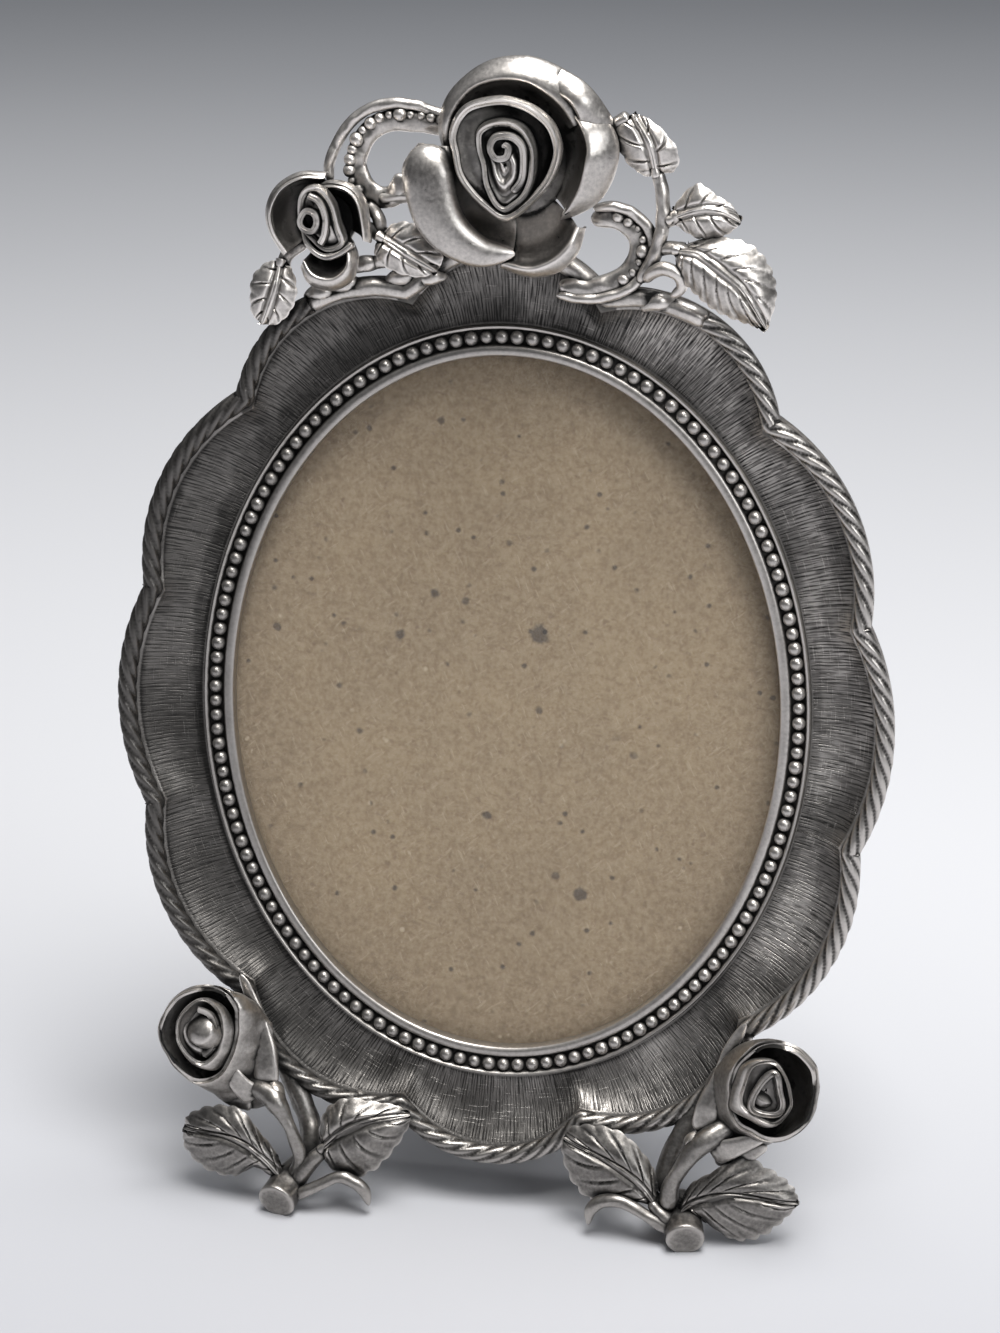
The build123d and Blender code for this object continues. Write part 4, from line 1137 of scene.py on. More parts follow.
@dataclass
class FaceCasting:
    """The oval casting: lip, bead groove, ridge, engraved dish, rim, bowl and pocket."""

    sight: tuple[float, float] = (28.0, 36.2)
    rim_level: float = 2.2
    dish_level: float = 0.1
    back_level: float = -5.2
    glass_front: float = -1.0
    pocket_lap: float = 2.4
    collar_wall: float = 2.8
    dish_edge: float = 3.16
    dish_rows: int = 30
    crease_height: float = 0.62
    crease_width: float = 0.085
    rope_radius: float = 0.98
    rope_lift: float = 0.42
    rope_step: float = 0.13
    strand_pitch: float = 1.95
    strand_starts: float = 5.0
    strand_depth: float = 0.30
    bead_count: int = 140
    bead_radius: float = 0.70
    bead_unevenness: float = 0.07
    bead_seat: tuple[float, float] = (1.875, 0.12)
    rope_top: float = 41.0
    scallops: Scallops = field(default_factory=Scallops)

    def ring(self, offset: float, level: float) -> np.ndarray:
        """A ring of the face that lies an offset outside the sight edge, at a level."""
        flat = oval(self.sight[0] + offset, self.sight[1] + offset, self.scallops.angles())
        return np.column_stack([flat, np.full(len(flat), level)])

    def dish(self) -> list[np.ndarray]:
        """The rings of the dish, which rises to the rim and has a crease at each notch.

        Returns:
            The rings, from the ridge out to the rim.
        """
        start = self.ring(self.dish_edge, self.dish_level)
        rim = np.column_stack([self.scallops.band(-0.02), np.full(len(start), self.rim_level)])
        step = np.arange(len(start)) % self.scallops.steps / self.scallops.steps
        notch = np.exp(-((np.minimum(step, 1 - step) / self.crease_width) ** 2))
        rings = []
        for share in np.linspace(0, 1, self.dish_rows):
            flat = start + (rim - start) * share
            rise = share**2.5
            crease = self.crease_height * notch * np.clip((share - 0.42) / 0.58, 0, 1) ** 1.4
            crease = crease * (1 - 0.35 * share)
            flat[:, 2] = self.dish_level + (self.rim_level - self.dish_level) * rise + crease
            rings.append(flat)
        return rings

    def form(self) -> Form:
        """The whole casting as one closed skin.

        Returns:
            The form, whose trace holds places round and out along the skin, and 1 on the dish.
        """
        scallops = self.scallops
        collar = (
            self.sight[0] + self.pocket_lap + self.collar_wall,
            self.sight[1] + self.pocket_lap + self.collar_wall,
        )
        lip = (
            (0.0, -1.0), (0.0, 0.18), (0.12, 0.36), (0.5, 0.44), (0.88, 0.40), (1.06, 0.22),
            (1.14, -0.12),
        )
        ridge = (
            (1.5, -0.25), (2.2, -0.25), (2.56, -0.12), (2.62, 0.3), (2.76, 0.56), (2.94, 0.58),
            (3.08, 0.34),
        )
        rings = [self.ring(self.pocket_lap, self.back_level), self.ring(self.pocket_lap, self.glass_front)]
        rings += [self.ring(*pair) for pair in lip + ridge]
        dish_start = len(rings)
        rings += self.dish()
        dish_end = len(rings)
        outline = scallops.band(0.98)
        collar_line = oval(*collar, scallops.angles())
        rings.append(np.column_stack([scallops.band(0.5), np.full(len(outline), self.rim_level + 0.1)]))
        for share, level in (
            (0.0, 2.1), (0.0, 1.7), (0.05, 1.2), (0.2, 0.3), (0.45, -0.7), (0.75, -1.4), (1.0, -1.8),
        ):
            flat = outline + (collar_line - outline) * share
            rings.append(np.column_stack([flat, np.full(len(flat), level)]))
        rings.append(np.column_stack([collar_line, np.full(len(outline), self.back_level + 0.3)]))
        rings.append(self.ring(self.pocket_lap + self.collar_wall - 0.3, self.back_level))
        points = np.stack(rings)
        around = np.arange(points.shape[1]) * 2 * pi * 40.0 / points.shape[1]
        out = np.cumsum(np.linalg.norm(np.diff(points, axis=0, prepend=points[:1]), axis=-1), axis=0)
        trace = np.stack([np.broadcast_to(around, out.shape), out, np.zeros_like(out)], axis=-1)
        trace[dish_start + 1 : dish_end - 1, :, 2] = 1.0
        flat_points = points.reshape(-1, 3)
        flat_points = flat_points + 0.03 * ripple(flat_points, 5.0)[:, None] * [[0, 0, 1]]
        faces = grid_faces(points.shape[0], points.shape[1], close_rows=True, close_columns=True)
        return Form(flat_points, [faces], trace.reshape(-1, 3))

    def build(self) -> list[Piece]:
        """Makes the casting, its beads and its rope.

        Returns:
            The three pieces.
        """
        mesh = meshed("face_casting", self.form(), 60.0)
        trace = np.zeros(len(mesh.vertices) * 3, np.float32)
        mesh.attributes["trace"].data.foreach_get("vector", trace)
        engraved = mesh.attributes.new("engraved", "FLOAT", "POINT")
        engraved.data.foreach_set("value", trace[2::3].copy())
        face = dressed("face_casting", mesh, face_pewter)
        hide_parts("cast_frame")
        sizes = {
            "Count": self.bead_count,
            "Radius": self.bead_radius * bench.scale,
            "Unevenness": self.bead_unevenness,
        }
        beads = bead_pattern(bead_pewter).run("beads", self.ring(*self.bead_seat), sizes, closed=True)
        bead_piece = dressed("bead_row", beads, bead_pewter)
        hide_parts("bead_ring")
        middle = self.scallops.band(0.5)
        top = int(np.argmax(middle[:, 1]))
        line = np.roll(middle, -top, axis=0)
        line = line[line[:, 1] < self.rope_top]
        line = np.column_stack([line, np.full(len(line), self.rim_level + self.rope_lift)])
        sizes = {
            "Step": self.rope_step * bench.scale,
            "Radius": self.rope_radius * bench.scale,
            "Pitch": self.strand_pitch * bench.scale,
            "Starts": self.strand_starts,
            "Depth": self.strand_depth * bench.scale,
        }
        rope = rope_pattern(rope_pewter).run("rope", line, sizes)
        rope_piece = dressed("rope_moulding", rope, rope_pewter)
        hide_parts("rope_border")
        return [face, bead_piece, rope_piece]


@dataclass
class Petal:
    """An outer petal: a sheet from the foot of the rose over a ridge to its rolled outline."""

    ridge: Line
    outline: Line
    wall: float = 0.6
    swell: float = 0.35
    roll: Sequence[tuple[Place, float]] = ()

    def rolled_edge(self) -> list[Form]:
        """The thick rolled edge of the petal.

        Returns:
            The bar of the edge, or nothing where the petal has none.
        """
        if not self.roll:
            return []
        places, radii = zip(*self.roll)
        return [rod(places, radii, flat=0.62, steps=10, sides=28)]

    def form(self, middle: Place, foot: float) -> Form:
        """The petal's shell, with its rolled edge.

        Args:
            middle: the middle of the rose's foot, on the bench.
            foot: the radius at which the petal leaves the foot.

        Returns:
            The form.
        """
        ridge, outline = smoothed(self.ridge, 36), smoothed(self.outline, 36)
        centre = np.array(middle, float)
        out = unit((ridge - centre) * [1, 1, 0])
        root = centre + out * foot
        low = root + (ridge - root) * [0.62, 0.62, 0.30]
        high = root + (ridge - root) * [0.90, 0.90, 0.74]
        crown = ridge + (outline - ridge) * 0.5 + [0, 0, self.swell]
        under = outline + (ridge - outline) * [0.10, 0.10, 0.0] - [0, 0, 0.9]
        control = np.stack([root, low, high, ridge, crown, outline, under], axis=1)
        grid = np.swapaxes(smoothed(np.swapaxes(control, 0, 1), 40), 0, 1)
        grid = grid + 0.07 * ripple(grid, 3.4, self.swell * 9)[..., None] * [[[0.4, 0.4, 1.0]]]
        return Form.joined([shell(grid, self.wall), *self.rolled_edge()])


@dataclass
class RolledWall:
    """A thin petal that stands on edge and follows a line, as in the heart of a rose."""

    line: Line
    middle: Place
    depth: float
    foot_share: float = 0.55
    wall: float = 0.45
    closed: bool = False
    flare: float = 0.25
    slant: tuple[float, float] = (0.0, 0.0)

    def form(self) -> Form:
        """The wall's shell, from its rolled lip down to its narrower foot.

        Returns:
            The form.
        """
        lip = smoothed(self.line, 72, self.closed)
        centre = np.array(self.middle, float)
        rows = []
        for share in np.linspace(0, 1, 22):
            narrow = 1 - (1 - self.foot_share) * share**1.5
            belly = 1 + 0.10 * sin(pi * min(share * 1.6, 1.0)) - self.flare * 0.12 * max(0.0, 1 - share * 7)
            ring = centre + (lip - centre) * [1, 1, 0] * (narrow * belly)
            ring[:, 2] = lip[:, 2] - self.depth * share
            ring[:, :2] += np.array(self.slant) * self.depth * share
            rows.append(ring)
        first = rows[0].copy()
        lip_out = unit((lip - centre) * [1, 1, 0])
        edge = first + lip_out * self.flare - [0, 0, 0.22]
        grid = np.stack([edge, first + lip_out * self.flare * 0.4 + [0, 0, 0.08], *rows], axis=1)[:, ::-1]
        grid = grid + 0.04 * ripple(grid, 2.6, self.depth)[..., None]
        return shell(grid, self.wall, self.closed)


@dataclass
class Filling:
    """The tight inner petals that fill a ring: a shallow dome with spiral folds."""

    line: Line
    drop: float = 0.7
    rise: float = 0.5
    folds: float = 0.22
    turns: float = 2.2
    wall: float = 1.2
    tilt: tuple[float, float] = (0.0, 0.0)

    def form(self) -> Form:
        """The dome's shell, inside the line and a little below it.

        Returns:
            The form.
        """
        lip = smoothed(self.line, 72, True)
        middle = lip.mean(0)
        turn = np.arange(72) * 2 * pi / 72
        rows = []
        for share in np.linspace(1.0, 0.04, 26):
            ring = middle + (lip - middle) * share
            ring[:, 2] += self.rise * (1 - share**2) - self.drop
            ring[:, 2] += (ring - middle)[:, :2] @ np.array(self.tilt)
            fold = self.folds * np.sin(2 * pi * self.turns * share - turn)
            ring[:, 2] += fold * min(1.0, 4 * (1 - share), 6 * share)
            rows.append(ring)
        return shell(np.stack(rows, axis=1), self.wall, closed=True, edge=1.0)


@dataclass
class Rose:
    """A cast rose: open petals on a foot, and a cup with a rolled heart."""

    name: str
    middle: Place
    foot_radius: float
    petals: Sequence[Petal]
    walls: Sequence[RolledWall]
    fillings: Sequence[Filling]
    core: Sequence[tuple[Place, float]]
    steps: int = 48

    def foot(self) -> Form:
        """The round boss that the petals and the heart stand on.

        Returns:
            The form.
        """
        x, y, z = self.middle
        profile = ((0.6, 0.95), (0.92, 0.75), (1.0, 0.3), (1.0, -0.9), (0.9, -1.2))
        turn = np.linspace(0, 2 * pi, self.steps + 1)[:-1]
        rings = []
        for out, level in profile:
            flat = oval(self.foot_radius * out, self.foot_radius * out, turn) + [x, y]
            rings.append(np.column_stack([flat, np.full(self.steps, z + level)]))
        ends = np.array([[x, y, z + 0.9], [x, y, z - 1.2]])
        ids = np.arange(self.steps)
        count = len(rings) * self.steps
        last = count - self.steps
        return Form(
            np.concatenate([*rings, ends]),
            [
                grid_faces(len(rings), self.steps, close_columns=True),
                np.stack([np.full(self.steps, count), ids, np.roll(ids, -1)], -1),
                np.stack([np.full(self.steps, count + 1), last + np.roll(ids, -1), last + ids], -1),
            ],
        )

    def build(self) -> list[Piece]:
        """Makes the petals and the heart of the rose.

        Returns:
            The two pieces.
        """
        petals = [petal.form(self.middle, self.foot_radius * 0.7) for petal in self.petals]
        open_form = Form.joined([self.foot(), *petals])
        heart_forms = [piece.form() for piece in (*self.walls, *self.fillings)]
        for (cx, cy, cz), radius in self.core:
            rise = [(cx, cy, self.middle[2] + 0.6), (cx, cy, (cz + self.middle[2]) / 2), (cx, cy, cz)]
            heart_forms.append(rod(rise, [radius * 1.25, radius * 1.2, radius * 0.75], sides=20))
        pieces = []
        for part, form in (("petals", open_form), ("heart", Form.joined(heart_forms))):
            node = f"{self.name}_{part}"
            piece = dressed(f"{node}_cast", meshed(node, form), crest_pewter)
            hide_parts(node)
            pieces.append(piece)
        return pieces


def large_rose() -> Rose:
    """The large rose of the crest.

    Returns:
        The rose, with its petals and heart in place on the bench.
    """
    middle = (0.9, 55.4, 3.6)
    back = Petal(
        ridge=(
            (-5.2, 56.6, 6.2), (-5.1, 59.0, 6.9), (-4.2, 61.0, 7.1), (-2.7, 62.6, 7.2),
            (-0.4, 63.4, 7.3), (2.2, 63.3, 7.3), (4.2, 62.3, 7.1), (5.7, 61.0, 6.8), (6.8, 59.2, 6.3),
        ),
        outline=(
            (-6.0, 56.2, 5.2), (-6.4, 59.0, 5.4), (-5.5, 61.7, 5.5), (-3.4, 63.9, 5.6),
            (-1.2, 65.1, 5.7), (1.2, 65.5, 5.7), (3.6, 65.2, 5.5), (6.6, 63.7, 5.3), (8.6, 61.6, 5.0),
            (8.8, 60.0, 4.8),
        ),
        swell=0.5,
    )
    lump = Petal(
        ridge=((4.6, 62.4, 6.6), (6.2, 61.8, 7.2), (7.2, 60.6, 7.2), (7.6, 59.4, 6.6)),
        outline=(
            (5.4, 64.4, 5.6), (7.4, 63.4, 6.0), (8.9, 62.0, 6.0), (10.0, 60.3, 5.4), (10.4, 59.2, 5.0),
        ),
        swell=0.45,
    )
    right = Petal(
        ridge=(
            (6.6, 60.4, 6.4), (7.6, 59.2, 7.0), (8.3, 57.4, 7.4), (8.1, 55.6, 7.5), (7.5, 53.4, 7.2),
            (6.2, 51.2, 6.5),
        ),
        outline=(
            (8.6, 61.0, 5.0), (9.9, 59.7, 5.3), (10.8, 58.0, 5.4), (10.9, 56.1, 5.4), (10.3, 53.9, 5.3),
            (9.0, 52.0, 5.3), (7.2, 50.8, 5.4), (5.6, 50.3, 5.6),
        ),
        swell=0.4,
    )
    left = Petal(
        ridge=(
            (-5.2, 57.0, 7.2), (-4.7, 55.6, 7.7), (-4.8, 53.6, 7.8), (-4.8, 51.4, 7.7),
            (-4.2, 49.7, 7.4), (-2.8, 48.5, 7.0), (-0.6, 47.9, 6.5), (1.2, 47.4, 6.0),
        ),
        outline=(
            (-7.9, 57.2, 7.2), (-9.4, 55.2, 6.8), (-9.4, 53.2, 6.6), (-8.6, 50.9, 6.4),
            (-7.1, 48.7, 6.2), (-5.2, 46.5, 6.0), (-2.3, 45.6, 6.0), (1.3, 46.7, 6.2),
        ),
        wall=0.8, swell=0.2,
        roll=(
            ((-6.1, 57.0, 7.0), 1.9), ((-6.7, 54.8, 7.5), 2.5), ((-6.5, 52.3, 7.6), 2.45),
            ((-5.7, 50.1, 7.5), 2.3), ((-4.1, 48.3, 7.2), 2.0), ((-1.7, 47.1, 6.8), 1.45),
            ((1.4, 47.0, 6.4), 0.6),
        ),
    )
    lower = Petal(
        ridge=(
            (0.2, 46.2, 6.3), (1.8, 45.9, 6.9), (3.4, 45.9, 7.0), (5.2, 46.7, 7.0), (6.6, 48.2, 6.8),
            (7.2, 49.8, 6.1),
        ),
        outline=(
            (-0.2, 45.5, 5.5), (1.8, 44.9, 5.8), (3.6, 44.8, 5.9), (5.8, 45.5, 5.9), (7.4, 47.3, 5.8),
            (8.0, 49.6, 5.3),
        ),
        swell=0.3,
    )
    cup_line = (
        (-4.1, 58.2, 9.7), (-3.5, 59.9, 9.8), (-2.2, 61.0, 9.9), (0.4, 61.5, 9.9), (2.7, 61.0, 9.9),
        (4.7, 59.6, 9.9), (5.6, 57.7, 9.8), (5.4, 55.8, 9.8), (4.5, 54.0, 9.7), (2.9, 52.2, 9.6),
        (1.0, 50.9, 9.5), (-0.5, 51.6, 9.6), (-2.1, 53.0, 9.7), (-3.3, 54.6, 9.7), (-3.8, 56.6, 9.7),
    )
    cup = RolledWall(
        cup_line, (1.0, 56.0, 4.0), depth=6.0, foot_share=0.5, wall=0.36, closed=True, flare=0.22,
    )
    ring_line = (
        (-1.1, 55.8, 10.0), (-1.5, 57.3, 10.1), (-1.5, 58.5, 10.2), (-0.7, 59.2, 10.2),
        (0.8, 59.5, 10.2), (2.4, 58.9, 10.2), (3.2, 57.4, 10.1), (3.4, 55.8, 10.1), (3.2, 54.2, 10.0),
        (2.6, 52.9, 9.9), (1.6, 52.0, 9.8), (0.8, 51.6, 9.7), (-0.1, 52.3, 9.8), (-0.8, 54.0, 9.9),
    )
    ring = RolledWall(
        ring_line, (1.0, 55.6, 4.0), depth=5.4, foot_share=0.8, wall=0.30, closed=True, flare=0.14,
    )
    curl = RolledWall(
        line=(
            (1.6, 53.3, 9.7), (2.4, 54.4, 9.9), (2.6, 56.0, 10.2), (2.4, 57.5, 10.4), (1.4, 58.3, 10.5),
            (0.1, 58.2, 10.5), (-0.4, 57.3, 10.5), (0.1, 56.4, 10.5), (1.0, 56.5, 10.5),
            (1.2, 57.3, 10.5), (0.7, 57.6, 10.5),
        ),
        middle=(0.8, 56.4, 4.0), depth=2.4, foot_share=0.95, wall=0.34, flare=0.1,
    )
    fillings = (Filling(ring_line), Filling(cup_line, drop=1.7, rise=0.5, folds=0.08, tilt=(-0.27, -0.08)))
    return Rose(
        "large_rose", middle, 5.2, (back, lump, right, left, lower), (cup, ring, curl), fillings, (),
    )


def small_rose() -> Rose:
    """The small rose at the left of the crest.

    Returns:
        The rose, with its petals and heart in place on the bench.
    """
    middle = (-17.6, 49.2, 3.4)
    left = Petal(
        ridge=(
            (-21.0, 46.2, 5.9), (-22.1, 48.0, 6.4), (-22.5, 49.8, 6.6), (-22.0, 51.4, 6.7),
            (-21.0, 52.6, 6.7), (-19.3, 53.4, 6.6), (-17.3, 53.4, 6.2),
        ),
        outline=(
            (-21.5, 45.8, 5.3), (-22.8, 47.9, 5.6), (-23.2, 49.9, 5.7), (-22.7, 51.7, 5.8),
            (-21.5, 53.1, 5.8), (-19.6, 54.0, 5.7), (-17.2, 54.0, 5.5),
        ),
        wall=0.42, swell=0.15,
    )
    right = Petal(
        ridge=(
            (-17.8, 52.5, 6.3), (-16.2, 52.7, 6.9), (-14.8, 52.3, 7.0), (-13.9, 51.2, 7.0),
            (-13.5, 49.4, 6.8), (-13.4, 47.7, 6.4),
        ),
        outline=(
            (-17.8, 53.1, 5.6), (-16.1, 53.3, 6.0), (-14.4, 52.8, 6.1), (-13.3, 51.5, 6.1),
            (-12.9, 49.4, 6.0), (-12.8, 47.4, 5.6),
        ),
        wall=0.42, swell=0.15,
    )
    lower = Petal(
        ridge=(
            (-19.2, 45.6, 6.4), (-18.4, 44.5, 6.9), (-17.3, 44.0, 7.1), (-16.0, 44.1, 7.2),
            (-15.0, 45.0, 7.2), (-14.8, 46.2, 7.0), (-15.2, 47.3, 6.5),
        ),
        outline=(
            (-19.7, 44.6, 5.5), (-19.0, 43.3, 5.8), (-17.6, 42.7, 5.9), (-15.9, 42.8, 6.0),
            (-14.4, 43.9, 6.0), (-14.0, 45.9, 5.9), (-14.6, 47.5, 5.7),
        ),
        wall=0.45, swell=0.4,
    )
    bud_line = (
        (-19.1, 49.9, 7.8), (-19.1, 51.4, 7.9), (-18.5, 52.3, 8.0), (-17.4, 52.4, 8.1),
        (-16.4, 51.2, 8.0), (-15.8, 49.2, 7.8), (-15.4, 47.5, 7.4), (-16.8, 46.9, 7.2),
        (-18.1, 47.9, 7.3), (-18.9, 48.9, 7.5),
    )
    bud = RolledWall(
        bud_line, (-17.4, 49.6, 3.8), depth=4.2, foot_share=0.66, wall=0.36, closed=True, flare=0.16,
    )
    hole_line = (
        (-18.6, 50.4, 8.4), (-17.8, 50.2, 8.5), (-17.6, 49.4, 8.4), (-18.0, 48.7, 8.3),
        (-18.8, 48.8, 8.2), (-19.1, 49.5, 8.3),
    )
    hole = RolledWall(
        hole_line, (-18.3, 49.6, 3.8), depth=3.4, foot_share=0.9, wall=0.34, closed=True, flare=0.1,
    )
    fold = RolledWall(
        line=(
            (-18.4, 51.9, 8.3), (-17.4, 51.4, 8.4), (-16.8, 50.0, 8.3), (-16.9, 48.4, 8.0),
            (-17.4, 47.4, 7.6),
        ),
        middle=(-17.8, 49.8, 3.8), depth=2.6, foot_share=0.9, wall=0.32, flare=0.1,
    )
    under = RolledWall(
        line=(
            (-19.0, 48.7, 7.2), (-18.5, 47.2, 7.3), (-17.2, 46.2, 7.3), (-15.8, 46.5, 7.3),
            (-14.4, 47.5, 7.1),
        ),
        middle=(-17.2, 49.4, 3.8), depth=3.6, foot_share=0.6, wall=0.36, flare=0.2,
    )
    filling = Filling(bud_line, drop=0.5, rise=0.4, folds=0.14, turns=1.4)
    return Rose("small_rose", middle, 2.9, (left, right, lower), (bud, hole, fold, under), (filling,), ())


@dataclass
class Leaf:
    """A cast leaf: two halves folded along a raised rib, with cut veins and a toothed edge."""

    name: str
    rib: Line
    left: Line
    right: Line
    finish: Finish
    thickness: float = 0.6
    bulge: float = 0.5
    veins: int = 6
    rows: int = 76
    half: int = 20

    def wing(self, edge: Line, teeth_seed: float) -> np.ndarray:
        """The points of one half, from the rib out to its edge.

        Args:
            edge: places on the edge between the stalk and the tip.
            teeth_seed: a number that sets the teeth of this edge.

        Returns:
            Rows and columns of points.
        """
        rib = smoothed(self.rib, self.rows)
        reach = smoothed([self.rib[0], *edge, self.rib[-1]], self.rows) - rib
        along = np.linspace(0, 1, self.rows)[:, None]
        away = np.linspace(0, 1, self.half + 1)[None, :]
        wide = np.linalg.norm(reach, axis=1)[:, None]
        teeth = 0.07 * (np.abs(np.sin(along * pi * self.veins * 1.6 + teeth_seed)) - 0.5) * away**4
        wing = rib[:, None] + reach[:, None] * (away + teeth)[..., None]
        slant = along - 0.20 * away
        vein = np.exp(-((np.sin(slant * pi * self.veins + teeth_seed) / 0.17) ** 2))
        vein = vein * np.clip(away * 6 - 1.0, 0, 1) * np.clip((1 - away) * 2.6, 0, 1)
        level = self.bulge * np.sin(pi * away**0.85) * np.clip(wide / 2.4, 0, 1)
        level = level - 0.28 * vein * np.clip(wide / 1.6, 0, 1)
        from_rib = away * wide
        level = level + 0.26 * np.exp(-((from_rib / 0.26) ** 2))
        level = level - 0.2 * np.exp(-(((from_rib - 0.5) / 0.2) ** 2))
        wing[..., 2] += level
        return wing + 0.04 * ripple(wing, 2.6, teeth_seed)[..., None] * [[[0.3, 0.3, 1.0]]]

    def form(self) -> Form:
        """The leaf's shell, whose halves share the rib.

        Returns:
            The form.
        """
        left, right = self.wing(self.left, 0.4), self.wing(self.right, 1.7)
        rib = (left[:, :1] + right[:, :1]) / 2
        return shell(np.concatenate([left[:, :0:-1], rib, right[:, 1:]], axis=1), self.thickness, edge=0.6)

    def build(self) -> Piece:
        """Makes the leaf, with a root below it where it stands on the casting.

        Returns:
            The piece.
        """
        root = np.array(self.rib[0])
        inward = (np.array(self.rib[1]) - root) * 0.25
        stalk = rod((tuple(root - inward * 0.4), tuple(root), tuple(root + inward)), (0.5, 0.5, 0.3))
        pad = rod((tuple(root + inward), tuple(root + inward * 0.5 - [0, 0, 1.8])), (0.6, 0.7))
        form = Form.joined([self.form(), stalk, pad])
        piece = dressed(f"{self.name}_cast", meshed(self.name, form), self.finish)
        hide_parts(self.name)
        return piece


@dataclass
class GlassSheet:
    """The picture glass, a hair clear of the board behind it so that the two don't share a face."""

    half_width: float = 30.1
    half_height: float = 38.3
    front: float = -1.04
    back: float = -1.92
    bevel: float = 0.12
    steps: int = 160

    def build(self) -> Piece:
        """Makes the sheet with its two ground edges.

        Returns:
            The piece.
        """
        turn = np.arange(self.steps) * 2 * pi / self.steps
        rings = []
        for inset, level in (
            (self.bevel, self.back), (0.0, self.back + self.bevel), (0.0, self.front - self.bevel),
            (self.bevel, self.front),
        ):
            flat = oval(self.half_width - inset, self.half_height - inset, turn)
            rings.append(np.column_stack([flat, np.full(self.steps, level)]))
        ids = np.arange(self.steps)
        caps = [ids[None, ::-1], ids[None] + 3 * self.steps]
        form = Form(np.concatenate(rings), [grid_faces(4, self.steps, close_columns=True), *caps])
        mesh = meshed("glass_sheet", form, 30.0)
        piece = dressed("glass_sheet", mesh, clear_glass)
        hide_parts("glass_pane")
        return piece


